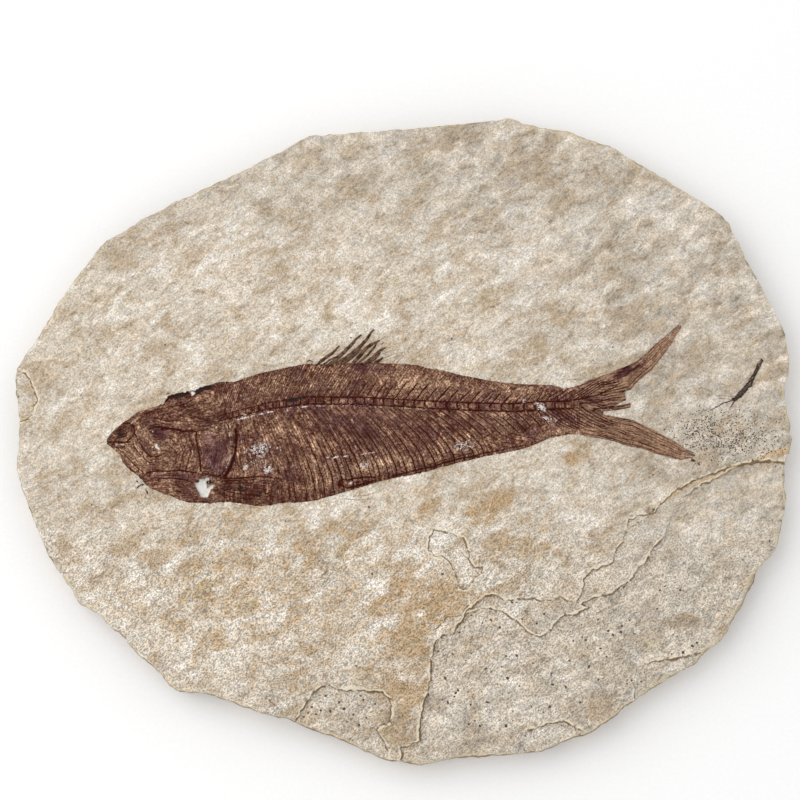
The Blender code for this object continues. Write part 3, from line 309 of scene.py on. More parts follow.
# Marks on the fish. Lines: half width, strength, points
DARK_LINES = (
    # Snout and jaws
    (0.4, 0.9, ((-76.1, 0.6), (-75.9, -0.7), (-75, -1.7))),
    (0.22, 0.9, ((-75.8, -0.3), (-73.6, -0.2), (-72, -0.4), (-70, -0.3))),
    (0.2, 0.7, ((-75.2, -1.4), (-73.4, -1.7), (-71.4, -1.5))),
    (0.28, 0.8, ((-75.6, 1.8), (-74.2, 3.4), (-72, 4.6), (-70.2, 4.6), (-69, 3.6))),
    (0.25, 0.7, ((-69.2, 3.6), (-68.8, 2.2), (-69.6, 0.8), (-70.8, -0.2))),
    (0.22, 0.6, ((-73.8, 2.6), (-72.2, 3), (-70.8, 2.2), (-71.4, 1), (-73.2, 0.8))),
    (0.25, 0.6, ((-75.4, -1.9), (-73.4, -3.6), (-71.2, -6.2), (-68.2, -8.6), (-65.9, -10))),
    (0.16, 0.55, ((-72.3, -1.9), (-70.6, -3.9), (-69, -6), (-65.7, -8.9))),
    (0.15, 0.5, ((-71, -1.6), (-69.2, -3.6), (-67.6, -5.8), (-65.5, -8.2))),
    (0.15, 0.5, ((-70, -1), (-68.2, -3), (-66.6, -5.4), (-65.3, -7.4))),
    (0.15, 0.45, ((-73.2, -2.6), (-70.8, -5.4), (-68, -7.6), (-66, -9.3))),
    (0.2, 0.75, ((-67.5, -0.4), (-66.6, -1.9), (-65.6, -3.3), (-64.6, -4), (-62.9, -4.1), (-61.1, -3.2))),
    (0.24, 0.85, ((-65.6, -8.3), (-63.8, -7.9), (-61.9, -7.8), (-59.6, -7.9), (-57, -7.7), (-53, -8.3))),
    (0.18, 0.5, ((-65.4, -9.2), (-61, -8.9), (-57, -9), (-53.6, -9.6))),
    (0.16, 0.5, ((-66, -6.4), (-63, -6), (-60.4, -6.5), (-58, -6.2))),
    # Cheek and gill cover
    (0.18, 0.6, ((-58.3, -4.2), (-56.6, -2.6), (-55.6, -1), (-55.3, 0.8))),
    (0.2, 0.65, ((-57.4, -7.8), (-56.6, -5.4), (-56.4, -3.6), (-55.3, -1.9))),
    (0.2, 0.6, ((-55.6, -7.6), (-54.8, -5), (-54.4, -2.6), (-53.6, -0.6))),
    (0.26, 0.9, ((-53, 2.2), (-53.1, 0.6), (-52.7, -1.4), (-52, -4.5), (-51.7, -7.9))),
    (0.18, 0.5, ((-60.6, -0.6), (-58.4, -1), (-56.8, 0.2), (-55.4, 1.4))),
    (0.16, 0.5, ((-60.4, -5.2), (-58.6, -5.2), (-57, -6.2))),
    (0.42, 1, ((-43, 2.9), (-42.8, 1), (-42.8, -0.8), (-43.1, -3.5), (-44, -6.4), (-45.4, -9.2))),
    (0.2, 0.6, ((-51.7, -8.1), (-49.6, -9), (-46.6, -9.4))),
    (0.2, 0.6, ((-42.8, 4.4), (-42.2, 2.2), (-41.8, 0.2), (-42, -2))),
    # Eye and skull
    (0.3, 0.8, ((-65.2, 2.9), (-64, 3.5), (-62.2, 3.6), (-60.4, 3.2), (-58.8, 2.9), (-56.8, 2.5),
        (-53.2, 2.5))),
    (0.24, 0.6, ((-53.2, 2.5), (-50.6, 2.7), (-48.2, 2.1), (-45.6, 2.3))),
    (0.22, 0.7, ((-67.6, 6.6), (-65.4, 7.4), (-63.4, 8), (-59.3, 8.9), (-56.3, 9.4), (-54.3, 10.5))),
    (0.22, 0.6, ((-67, 5.2), (-65, 5.9), (-62.9, 5.8), (-60.4, 5), (-58.3, 5.4), (-54.3, 4.8))),
    (0.2, 0.65, ((-59.4, 8.4), (-57.2, 7.6), (-55.3, 6.8), (-52.2, 5.8), (-48.2, 4.8))),
    (0.2, 0.55, ((-56.6, 9), (-54.8, 7.4), (-53, 7.6), (-50.6, 6.6))),
    (0.2, 0.55, ((-54.6, 5.6), (-53, 6.8), (-51, 7.4), (-49, 8.8))),
    (0.2, 0.6, ((-52.6, 12.4), (-51.2, 10.8), (-50.2, 8.9), (-48.2, 7.3))),
    (0.2, 0.65, ((-48.6, 14.2), (-47.4, 12.8), (-46.3, 11.2), (-45.6, 8.9), (-46, 7.2))),
    (0.18, 0.5, ((-45.4, 14.6), (-44, 12.6), (-43.4, 10.6))),
    (0.5, 1, ((-61.2, 10.3), (-60.2, 11.4), (-58.4, 11.9), (-56.6, 12.2), (-55.2, 12.5))),
    (0.45, 1, ((-54.4, 12.7), (-53.2, 13.3), (-51.8, 13.8), (-50, 14.1))),
    (0.2, 0.6, ((-64.4, 1.9), (-63.2, 0.4), (-61.4, 0.2), (-60.2, 1.2))),
    (0.18, 0.7, ((-66.4, 4.4), (-65, 3.6), (-63.6, 4.2), (-61.4, 4.4), (-59.6, 3.9))),
    (0.3, 0.8, ((-62, 3), (-60.4, 3), (-58.6, 3.1), (-56.6, 2.6))),
    (0.22, 0.7, ((-61, 1), (-59.4, 0.4), (-58.4, -0.6))),
    (0.16, 0.6, ((-72.6, 4.6), (-71, 5.4), (-68.4, 6.6), (-66, 7.9))),
    (0.2, 0.7, ((-70, 2.6), (-68.6, 1.6), (-68, 0))),
    (0.16, 0.6, ((-62.6, 7), (-60.6, 6.2), (-58.8, 6.6), (-56.4, 6.2))),
    (0.2, 0.7, ((-57.8, 10.2), (-56.2, 8.8), (-54.2, 9.2))),
    (0.16, 0.6, ((-55.4, 11), (-53.6, 9.8), (-52, 9.6), (-50.6, 10.6))),
    (0.16, 0.6, ((-52, 13), (-49.6, 12.2), (-47.8, 10.4))),
    (0.2, 0.7, ((-50.4, 6.2), (-48.4, 6.6), (-47, 5.6), (-45.8, 5.8))),
    (0.2, 0.7, ((-53.6, 4.2), (-51.8, 3.6), (-49.4, 3.9))),
    (0.25, 0.75, ((-45.6, 4.8), (-44.8, 3.6), (-44.8, 2.4))),
    (0.2, 0.7, ((-45, 6.4), (-43.4, 5.2), (-42.4, 4))),
    (0.16, 0.65, ((-64.6, -4.9), (-62.6, -4.7), (-60.8, -5.6), (-59.2, -5.2))),
    (0.16, 0.6, ((-66.8, -3.4), (-65.8, -5), (-65.4, -7))),
    (0.18, 0.7, ((-59.8, -1.6), (-58.4, -2.4), (-57.8, -3.8), (-58.2, -5.8))),
    (0.16, 0.6, ((-58.8, -6.8), (-57.6, -5.4), (-57.2, -4))),
    (0.2, 0.8, ((-51.6, -8.6), (-50, -8.4), (-48.4, -9), (-46.6, -8.9))),
    (0.16, 0.6, ((-49.4, -11), (-48.2, -10.2), (-46.6, -10.2))),
    (0.22, 0.75, ((-62.6, -9.8), (-59.4, -9.6), (-56, -10), (-53.4, -10.8))),
    (0.16, 0.6, ((-62.4, -12.4), (-58.6, -12.6), (-54.2, -13.8))),
    (0.18, 0.65, ((-43.6, 2.2), (-43.4, 0.6), (-43.5, -1.4), (-43.9, -3.6))),
    (0.25, 0.8, ((-43.4, -4.6), (-44.6, -7.6), (-46, -9.2))),
    # Breast fin
    (0.24, 0.9, ((-46.8, -9.6), (-44.6, -9.8), (-42.1, -9.7), (-38.4, -9.3), (-35, -9.3), (-31.9, -9.7))),
    (0.18, 0.75, ((-46.4, -10.4), (-42, -10.3), (-38.4, -10), (-34, -10.3))),
    (0.2, 0.8, ((-45.6, -10.8), (-41, -10.9), (-36.4, -10.7), (-32.6, -11.3))),
    (0.16, 0.7, ((-46.2, -11.3), (-41.4, -11.5), (-37, -11.4), (-33.2, -12))),
    (0.18, 0.75, ((-45.8, -11.8), (-42, -12.1), (-37.4, -12.2), (-33.6, -12.9))),
    (0.16, 0.7, ((-46.4, -12.1), (-42.8, -12.8), (-38.6, -13), (-34.6, -13.6))),
    (0.22, 0.8, ((-46.6, -12.4), (-43, -13.5), (-38.4, -14), (-33, -14.3))),
    (0.2, 0.7, ((-48, -12.6), (-45, -14), (-41.4, -14.8), (-36.4, -15))),
    (0.22, 0.6, ((-47.6, -13.4), (-44, -14.9), (-39, -15.6), (-33.4, -15.7))),
    # Belly fin
    (0.3, 0.9, ((-16.7, -11.4), (-16.3, -10.2), (-15.4, -9.9), (-14.2, -10.1), (-12, -9.6), (-9.4, -9.3),
        (-7.3, -9.4))),
    (0.3, 0.8, ((-16.6, -11.6), (-15.4, -11.7), (-14.4, -12.1), (-12.1, -11.5), (-9.4, -10.9),
        (-7.4, -10.1))),
    (0.16, 0.6, ((-14.8, -11.4), (-13.6, -10.8), (-11, -10.4), (-8.2, -9.9))),
    (0.45, 0.8, ((-16.6, -11), (-15.8, -11.2))), (0.14, 0.6, ((-12.6, -10.9), (-10, -10.5), (-8.6, -10.3))),
    # Anal fin along the rear of the belly
    (0.3, 0.75, ((-3, -9), (1, -8.1), (4, -7.3), (7.4, -6.7), (10, -5.7), (15, -4.4), (19, -3.9))),
    (0.3, 0.6, ((17, -3.9), (21, -3.1), (24.4, -2.5), (27, -1.8), (31, -1.1))),
    (0.2, 0.7, ((2, -7), (8, -5.6), (13, -4.2), (18, -3))),
    (0.18, 0.6, ((14, 0.6), (17, -1.4), (21.4, -2.9))), (0.18, 0.6, ((16.4, 0.9), (19.6, -1), (24, -2.3))),
    (0.18, 0.6, ((19, 1.1), (22.4, -0.6), (27, -1.7))), (0.18, 0.6, ((21.6, 1.4), (25, -0.2), (29.6, -1))),
    (0.18, 0.6, ((24.4, 1.8), (28, 0.4), (32, -0.2))), (0.18, 0.6, ((27.4, 2), (31, 1), (34.6, 0.4))),
    # Bones at the root of the tail
    (0.2, 0.6, ((36.4, 8.2), (39, 7.9), (43, 8.4), (47, 8.6), (51, 7.6))),
    (0.25, 0.8, ((37, 10.2), (41, 10.4), (45, 10.8), (50, 12), (55, 14.4))),
    (0.2, 0.7, ((45, 9.8), (49, 9.9), (53, 10.9))), (0.2, 0.7, ((46, 8.6), (51, 8.4), (55.6, 8.5))),
)
# Parallel bones that fan from the backbone into the tail: first line, step to the next, how many
TAIL_FANS = (
    (((35, 8), (37.4, 6.2), (39.8, 4.4), (42.6, 3.1)), (1.15, 0.1), 6),
    (((42.2, 8.2), (44.6, 6.6), (47.2, 5), (50.6, 3.6)), (1.05, 0.25), 5),
    (((34.4, 10.4), (36.8, 12), (38.8, 13.2)), (1.7, 0.05), 4),
    (((41.6, 10.6), (44, 12.2), (46.8, 14), (49, 15.4)), (1.25, 0.15), 5),
)
# Calcite along bones, broken into dots by its finish
PALE_LINES = (
    (0.13, 0.8, ((-42.6, 5.4), (-40.3, 6), (-38, 6.5), (-35.5, 7.2), (-32.4, 8), (-29, 8.5), (-25.8, 8.8))),
    (0.12, 0.45, ((-25.8, 8.8), (-22.6, 9.1), (-19, 9), (-15.4, 9), (-11, 8.9), (-4, 8.7), (6, 8))),
    (0.15, 0.9, ((-19.7, -4.5), (-17, -4.2), (-14.6, -4), (-10.6, -3.5), (-8.6, -3), (-7, -2.7))),
    (0.14, 0.5, ((-45.2, 3.6), (-44.6, 1.6), (-44.2, -0.2), (-43.9, -2.2), (-44.3, -4.6), (-45.3, -7))),
    (0.14, 0.5, ((-42.3, 5), (-41, 6.6), (-39.6, 7))),
    (0.16, 0.6, ((-73.6, -0.95), (-72.6, -0.85), (-71.6, -0.9))),
    (0.2, 0.45, ((-69.8, 4.4), (-69.2, 5), (-68.4, 4.6))),
    (0.1, 0.4, ((36.8, 5.4), (38, 4.6), (38.6, 3.2), (38.8, 2))),
    (0.16, 0.6, ((34.8, 6.4), (36, 6), (37, 5.2), (38.4, 4.4))),
    (0.16, 0.5, ((-42, 11.8), (-41, 11), (-39.8, 10.9))),
    (0.1, 0.4, ((-57.6, -1), (-56.4, -0.4), (-55.8, 0.4))),
    (0.12, 0.4, ((-47, 9.6), (-45.2, 8.4), (-43.8, 8))),
)
# Patches: place, radii, turn in degrees, strength
DARK_PATCHES = (
    (-72.8, 1.8, 3.2, 2.6, 30, 0.8), (-71.6, 2.2, 1.5, 1.2, 20, 0.5), (-57, 2.8, 3.6, 0.8, -6, 0.7),
    (-57.6, 12, 4.2, 1.1, 15, 1.2), (-51.6, 13.4, 3.2, 1.2, 20, 1.15), (-38, -14.2, 8.5, 1.7, 0, 0.75),
    (-28, -14.4, 6, 1.5, 5, 0.6), (-45.5, -12.5, 2.2, 1.6, 0, 0.85), (31, 3.2, 1.8, 1.5, 0, 0.75),
    (-41.5, -12.4, 5.5, 2.2, -6, 0.8), (-62.6, 1.9, 1.9, 1.2, -4, 0.85), (-63.6, 2.2, 0.8, 0.8, 0, 1),
    (-67.4, 5.8, 3.4, 0.9, 40, 0.5), (-48.6, 5.4, 4.6, 1.1, 12, 0.55), (-54.4, 8.4, 5, 2, 20, 0.4),
    (-61.6, -10.6, 3.6, 0.8, -18, 0.5), (-20, 2.4, 6, 1.6, -15, 0.35), (8, 5, 5, 2, -25, 0.35),
    (20, 3, 5, 1.6, -20, 0.35), (33.6, 4.2, 4.6, 1, 12, 0.7), (-28, 10.7, 3.6, 0.9, 8, 1.1),
    (-20.6, 11.1, 5, 1, 1, 0.65), (-10, 1.6, 5, 2.6, -25, 0.5), (-22.4, 7.7, 1.6, 1.2, 0, 0.4),
    (46.4, 11.2, 2.4, 1, -20, 0.6), (-13, 20.4, 4.6, 1, 0, 0.6), (10, -5.6, 10, 1, 13, 0.45),
    (74, -3.6, 1.4, 0.6, -20, 0.5), (-16.2, -11.4, 0.9, 0.9, 0, 0.9), (0.6, 0.6, 4, 2, -30, 0.3),
    (-47, 6.4, 2.4, 1.2, 20, 0.45), (-49.6, -10.6, 1.3, 1, 0, 1),
)
VIOLET_PATCHES = (
    (-62.6, 1.8, 2.7, 1.7, -4, 1.1), (-47.8, -3.4, 3.6, 5.4, 0, 1), (-58, -9.4, 6.6, 1.1, -4, 0.75),
    (-9, 1.5, 6, 3.4, -22, 0.7), (-22, 7.4, 3, 1.6, 0, 0.6), (-12, 14.8, 1.4, 1.1, 0, 0.9),
    (-8, 19, 5.4, 1.1, -2, 0.8), (-10, 6, 12, 1.8, 0, 0.5), (57, 17.9, 4.4, 0.8, 27, 1.35),
    (49, 10.6, 4, 1.2, -8, 0.6), (39.6, 6.4, 4.2, 1.9, -30, 0.75), (-36, -6, 3, 2.4, 0, 0.35),
    (20, 5, 10, 2, -5, 0.35), (-44, 11, 2.6, 2.6, 0, 0.4), (3, 3, 6, 2.4, -30, 0.4),
)
TAN_PATCHES = (
    (-66.6, 2.2, 1.8, 1.7, 30, 1.2), (-61.6, -1.4, 3.6, 1, -6, 0.7), (-68.6, -3.9, 3.6, 2.6, -50, 1),
    (-59.8, -4.6, 3, 1.8, 0, 0.6), (-47.8, 3.2, 2.6, 1, 0, 0.5), (-8, -6.4, 9, 2, 14, 0.95),
    (-19, -8.6, 6, 2.2, -10, 0.75), (10, -3, 9, 2, 12, 0.6), (-34, 14, 6, 1.8, 22, 0.45),
    (4, 14.6, 11, 2.4, -6, 0.65), (-20, 15.4, 7, 2.4, 6, 0.45), (30, 12.6, 9, 1.4, -3, 0.45),
    (-33, 4.4, 6, 2.6, 20, 0.1), (57.6, 10.6, 2.4, 1.9, 0, 1.1), (62, 1.8, 8, 1.2, -24, 0.6),
    (66, 24, 4, 1.2, 50, 0.45), (-53.8, -4, 1.2, 2.4, 10, 0.5), (-31, -5, 3, 4, 0, 0.15),
    (38.4, 1.9, 3.4, 0.9, 12, 0.5), (-50.4, -0.4, 2, 1.4, 0, 0.35),
)
PALE_PATCHES = (
    (-37, -2.2, 3.4, 1.9, 20, 0.6), (-34.8, -7.6, 1.3, 1, 40, 0.8), (-40.4, -6.6, 1, 1.4, 20, 0.65),
    (-36.6, -4.8, 5, 3.4, 20, 0.24), (-10.2, -6.4, 1.3, 0.9, 0, 0.5), (15.6, -1, 3.2, 2, 0, 0.42),
    (35.2, 8.8, 1.7, 0.9, -40, 0.7), (37.6, 5.6, 2, 1.2, -40, 0.35), (-9, -5.2, 4, 1.6, 12, 0.2),
    (30.4, 10.4, 1.4, 0.7, 0, 0.35), (4, 2, 8, 4, 0, 0.12), (-21, 0, 8, 4, 0, 0.1),
    (-13.4, -10.7, 0.45, 0.4, 0, 0.9), (-29.8, 7.8, 0.3, 0.3, 0, 1), (-13.2, 5.2, 0.3, 0.4, 0, 0.9),
    (-64.2, 2.4, 0.25, 0.25, 0, 0.7), (-41.2, -0.2, 0.3, 0.4, 0, 0.5),
)
WHITE_FLECK = (
    (-63.4, -1), (-63, -0.9), (-62.8, -1.5), (-62.3, -1.9), (-62.4, -2.6), (-62.9, -2.3), (-63.5, -1.8),
)
NAPE_NOTCH = ((-54.9, 12.9), (-54.5, 11.7), (-53.6, 12.3), (-54, 12.9))

# Crumbs of calcite: place, spread, how many, largest radius
CALCITE_DRIFTS = (
    ((-36.4, -2.4), (3, 1.5), 34, 0.36), ((-34.6, -7.6), (0.9, 0.7), 8, 0.46),
    ((-40.2, -7), (0.7, 0.9), 7, 0.36), ((-38, -5), (2.6, 1.2), 14, 0.2), ((15.6, -1), (2.2, 1.4), 26, 0.28),
    ((35, 8.9), (1.1, 0.7), 22, 0.34), ((37.6, 5.2), (1.3, 1.5), 16, 0.18),
    ((-9.8, -6.3), (1.2, 0.6), 9, 0.24), ((30.5, 10.6), (0.8, 0.4), 6, 0.2),
    ((26.3, 11.5), (1.2, 0.5), 6, 0.16), ((-12, 9), (7, 0.4), 16, 0.13), ((-40.8, 5.9), (1.4, 0.4), 8, 0.2),
    ((52.4, 8), (1.2, 0.5), 7, 0.18), ((-24, -1), (6, 3), 10, 0.12), ((-54, -4), (6, 6), 12, 0.1),
    ((0, 6), (20, 5), 18, 0.11), ((10, 10), (14, 2), 10, 0.12), ((-50, -10.2), (1.6, 1), 12, 0.18),
)
# Loose scraps: half width, points of the middle line
BONE_SCRAPS = (
    (0.22, ((-68.2, -10.2), (-67.7, -10.6))), (0.16, ((-68.1, -12.1), (-67.4, -11.6), (-66.6, -11))),
    (0.2, ((-65.8, -12.4), (-65.4, -13), (-65.3, -13.7))), (0.14, ((-66.8, -11.6), (-66.2, -11))),
    (0.24, ((-9, -16.8), (-8.7, -17.2))), (0.3, ((73.4, -4.9), (74.6, -5.2))),
    (0.2, ((75, -5.6), (75.6, -6.2))), (0.14, ((-25.2, 20.7), (-24.4, 21.1), (-23.4, 20.6))),
    (0.16, ((-13.8, 26.9), (-13.5, 27.2))), (0.1, ((-5.2, 26), (-5.9, 25.2))),
    (0.16, ((-60.9, 12.1), (-60.3, 12.5))),
)
# Back fin: half width, middle line of each ray from its root on the back
BACK_FIN_RAYS = (
    (0.34, ((-22.6, 19.7), (-20.2, 21.8), (-18.2, 23.1), (-17.3, 24.3), (-16.6, 24.9))),
    (0.42, ((-19.4, 19.9), (-16.4, 22.3), (-13.8, 24.9), (-12.2, 26.8), (-11, 27.8))),
    (0.44, ((-17.4, 19.9), (-14.6, 21.9), (-11.8, 24.2), (-9.6, 26.6), (-8.5, 28.4), (-7.8, 29.2))),
    (0.42, ((-13.4, 20), (-11.4, 22.2), (-9.8, 24.3), (-8, 25.5), (-6.2, 26.4))),
    (0.4, ((-10.4, 20.1), (-8.2, 21.6), (-6.4, 23.5), (-4.8, 24.4))),
    (0.32, ((-7.6, 20.2), (-6.4, 21), (-5.3, 21.8))), (0.26, ((-18.4, 20), (-15.4, 21.6), (-13.2, 23.4))),
    (0.24, ((-15.6, 20.1), (-12.6, 22.4), (-11, 24))),
    (0.26, ((-12, 20.2), (-9.4, 22.4), (-7.4, 24.8), (-6.9, 25.9))),
    (0.22, ((-9, 20.2), (-7.2, 21.7), (-5.9, 23.2))), (0.2, ((-20.8, 20), (-18.8, 21.4), (-17, 22.2))),
)
FIN_HAIRS = (
    ((-9.4, 22.6), (-7.4, 23), (-5, 24.2), (-2.8, 24.8)),
    ((-9, 21.8), (-6.4, 22.4), (-3.4, 23.6), (-1.4, 24)),
    ((-7.6, 21), (-4.6, 21.9), (-1.6, 23), (0.5, 23.3)), ((-8, 25.4), (-5.6, 26.8), (-4.4, 27.3)),
    ((-6, 20.6), (-3, 21.8), (-0.4, 22.4)), ((-3, 20.6), (-1.2, 22), (-0.2, 23.2)),
    ((-1.8, 20.4), (-0.4, 21.8), (0.6, 22.8)), ((41.8, 15.9), (43.4, 16.2), (46, 16.1)),
    ((-13, -14.2), (-9, -13.9), (-5.4, -12.4)), ((-15.4, -14.8), (-11.4, -15.2), (-7, -14.6)),
    ((-39, -16.9), (-36.4, -17.3), (-33.8, -17)), ((-43, -16.2), (-40.6, -16.9), (-38.6, -17)),
    ((84.7, 11.5), (82.4, 11.9), (79.9, 11.9)), ((84.5, 10.8), (82, 11.1), (79.2, 10.9)),
    ((84.6, 10.2), (83.8, 8.6), (82.9, 6.3)),
)
# Plant scrap: middle line, half widths at its points, and its finer threads
TWIG_LINE = ((84.6, 10.6), (85.6, 11.3), (87.6, 13.3), (89.1, 15.1), (90.3, 17.4), (91.6, 19.6), (92.5, 21.2))
TWIG_HALF_WIDTHS = (0.5, 0.7, 0.62, 0.66, 0.5, 0.42, 0.26)
TWIG_THREADS = (
    (0.14, ((84.7, 10.7), (83.2, 10.2), (82, 9.9), (81, 9.2), (79.8, 8.6), (78.5, 8))),
    (0.12, ((84.9, 10.3), (84.4, 9.5), (84, 8.8))), (0.16, ((91, 18.4), (91, 19.8), (91.7, 20.9))),
    (0.12, ((88.6, 13.9), (89.6, 14.3), (90.3, 15.2))),
)


# Settings

def tint(name, description, colour):
    return FloatVectorProperty(name=name, description=description, subtype="COLOR", default=colour)


def length(name, description, millimetres, **limits):
    return FloatProperty(
        name=name, description=description, default=millimetres * MM, unit="LENGTH", precision=5, **limits)


def count(name, description, number, least=0):
    return IntProperty(name=name, description=description, default=number, min=least)


class SlabSettings(bpy.types.PropertyGroup):
    """Sizes and colours of the stone."""

    cell: length("Cell", "Side of one square of the split face", 0.8, min=0.4 * MM)
    swell: length("Swell", "Height of the low swells in the split face", 0.17)
    edge_roughness: length("Edge roughness", "How far the broken edge wanders in and out", 0.26)
    cream: tint("Cream", "Colour of clean limestone", (0.65, 0.552, 0.437))
    tan: tint("Tan", "Colour of the mottling", (0.42, 0.305, 0.19))
    chalk: tint("Chalk", "Colour of the palest stone", (0.79, 0.735, 0.66))
    grey: tint("Grey", "Colour of the cooler clouds", (0.6, 0.53, 0.44))
    umber: tint("Umber", "Colour of the darkest stains", (0.22, 0.15, 0.095))
    rust: tint("Rust", "Colour of the iron stains", (0.415, 0.268, 0.13))
    olive: tint("Olive", "Colour of the yellowish stains", (0.37, 0.29, 0.15))
    grain: tint("Grain", "Colour of the dark grains", (0.045, 0.03, 0.025))
    grain_radius: length("Grain radius", "Radius of an ordinary dark grain", 0.29)
    grain_count: count("Grains beyond the tail", "How many grains lie beyond the tail", 1000)


class FishSettings(bpy.types.PropertyGroup):
    """Sizes and colours of the fossil."""

    body_columns: count("Body columns", "Columns of the net from snout to tail root", 590, 60)
    tail_columns: count("Tail columns", "Columns of the net along the tail", 150, 20)
    lower_rows: count("Lower rows", "Rows of the net from belly to backbone", 70, 10)
    upper_rows: count("Upper rows", "Rows of the net from backbone to back", 46, 10)
    rib_relief: length("Rib relief", "Height of the ribs", 0.1)
    brown: tint("Brown", "Colour of the bone and skin", (0.118, 0.07, 0.046))
    tan: tint("Tan", "Colour where the skin is thin", (0.215, 0.13, 0.084))
    straw: tint("Straw", "Colour of the palest bone", (0.355, 0.242, 0.155))
    ember: tint("Ember", "Red that shows through all of the bone", (0.034, 0.001, 0.0))
    dark: tint("Dark", "Colour of the ribs and seams", (0.004, 0.002, 0.001))
    violet: tint("Violet", "Colour of the glassy patches", (0.062, 0.04, 0.046))
    calcite: tint("Calcite", "Colour of the white flecks", (0.68, 0.62, 0.6))
    carbon: tint("Carbon", "Colour of the plant scrap", (0.018, 0.013, 0.012))


class StageSettings(bpy.types.PropertyGroup):
    """Floor, light and camera."""

    floor: tint("Floor", "Colour of the floor", (0.93, 0.93, 0.93))
    sky: FloatProperty(name="Sky", description="Strength of the light from all round", default=0.84, min=0)
    key: FloatProperty(
        name="Key light", description="Power of the soft light from the upper left", default=6.8, min=0,
        unit="POWER")
    camera_distance: length("Camera distance", "Distance from the camera to the split face", 485.4)
    camera_tilt: FloatProperty(
        name="Camera tilt", description="How far the camera leans from straight above",
        default=math.radians(10), subtype="ANGLE")


# Measuring along lines and outlines, in millimetres

MIDDLE = np.array((
    SNOUT_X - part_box("fish")[0].x / MM,
    UPPER_LOBE_OUTER[-1][1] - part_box("fish")[1].y / MM,
))


def value_at(line, x):
    """The second value of a line of points where its first value is x."""
    firsts, seconds = np.array(line, float).T
    return np.interp(x, firsts, seconds)


def span(steps):
    """The length of each step."""
    return np.hypot(*steps.T)


def points_along(line, fractions):
    """The points at fractions of a line's length."""
    corners = np.array(line, float)
    lengths = span(np.diff(corners, axis=0))
    reached = np.concatenate(([0.0], np.cumsum(lengths))) / lengths.sum()
    return np.column_stack([np.interp(fractions, reached, corners[:, axis]) for axis in (0, 1)])


def left_of(steps):
    """The direction square to the left of each step."""
    return np.column_stack((-steps[:, 1], steps[:, 0])) / span(steps)[:, None]


def distance_to(points, line):
    """The shortest distance from each point to a line of points."""
    nearest = np.full(len(points), np.inf)
    for a, b in zip(line, line[1:]):
        start, run = np.array(a, float), np.subtract(b, a)
        share = np.clip((points - start) @ run / (run @ run), 0, 1)
        nearest = np.minimum(nearest, span(points - start - share[:, None] * run))
    return nearest


def inside(points, outline):
    """Which points lie inside a closed outline."""
    x, y = points.T
    found = np.zeros(len(points), bool)
    for (x0, y0), (x1, y1) in zip(outline, np.roll(outline, -1, axis=0)):
        if y0 != y1:
            found ^= ((y0 > y) != (y1 > y)) & (x < x0 + (y - y0) * (x1 - x0) / (y1 - y0))
    return found


def depth_inside(points, outline):
    """How far each point lies inside a closed outline; below nothing outside it."""
    away = distance_to(points, tuple(outline) + tuple(outline[:1]))
    return np.where(inside(points, outline), away, -away)


def bump(distance, width):
    return np.exp(-((distance / width) ** 2))


def ease(value, low, high):
    """From 0 below low to 1 above high, without a corner."""
    share = np.clip((value - low) / (high - low), 0, 1)
    return share * share * (3 - 2 * share)


def noise_at(points, size, seed, octaves=2):
    """Smooth noise between about -1 and 1, with swells of a size in millimetres."""
    return np.array([noise.fractal((x, y, seed), 1.0, 2.0, octaves) for x, y in points / size])


def shifts_at(points, size, seeds, octaves=2):
    """Smooth sideways shifts, with a seed for each direction."""
    return np.column_stack([noise_at(points, size, seed, octaves) for seed in seeds])


def turned(points, degrees, stretch):
    """Points turned to lie along a direction, and drawn together along it."""
    turn = math.radians(degrees)
    across = np.array(((math.cos(turn), -math.sin(turn)), (math.sin(turn), math.cos(turn))))
    return (points @ across) / (stretch, 1.0)


def patches(points, spots):
    """How strongly soft spots cover each point."""
    cover = np.zeros(len(points))
    for x, y, long, wide, turn, strength in spots:
        away = span(turned(points - (x, y), turn, 1.0) / (long, wide))
        cover = np.maximum(cover, strength * bump(away, 1.0))
    return cover


def strokes(points, lines):
    """How strongly drawn lines cover each point."""
    cover = np.zeros(len(points))
    for half, strength, line in lines:
        low = np.min(line, axis=0) - 3 * half
        high = np.max(line, axis=0) + 3 * half
        near = np.all((points > low) & (points < high), axis=1)
        if near.any():
            drawn = strength * bump(distance_to(points[near], line), half)
            cover[near] = np.maximum(cover[near], drawn)
    return cover


# Meshes

def flat_points(verts):
    return np.array([vert.co.xy for vert in verts])


def finish_piece(bm, name, material):
    """Puts a finished bmesh into an object of the slab."""
    bmesh.ops.recalc_face_normals(bm, faces=bm.faces[:])
    bmesh.ops.translate(bm, verts=bm.verts[:], vec=(-MIDDLE[0], -MIDDLE[1], 0.0))
    bmesh.ops.scale(bm, verts=bm.verts[:], vec=(MM, MM, MM))
    for face in bm.faces:
        face.smooth = True
    mesh = bpy.data.meshes.new(name)
    bm.to_mesh(mesh)
    bm.free()
    mesh.materials.append(material)
    piece = bpy.data.objects.new(name, mesh)
    bpy.context.scene.collection.objects.link(piece)
    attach(piece, "root")
    return piece


def write_marks(bm, marks):
    """Writes a value for each point, by name, where the finish reads it."""
    layers = [(bm.verts.layers.float.new(name), values) for name, values in marks.items()]
    for index, vert in enumerate(bm.verts):
        for layer, values in layers:
            vert[layer] = values[index]


def rim_edges(bm):
    return [edge for edge in bm.edges if edge.is_boundary]


def rim_loop(bm):
    """The points round an open sheet, in order."""
    here = min((vert for vert in bm.verts if vert.is_boundary), key=lambda vert: vert.co.x)
    left = set(rim_edges(bm))
    loop = []
    while left:
        edge = next((edge for edge in here.link_edges if edge in left), None)
        if edge is None:
            raise RuntimeError("The sheet's edge isn't one closed loop")
        left.remove(edge)
        loop.append(here)
        here = edge.other_vert(here)
    return loop


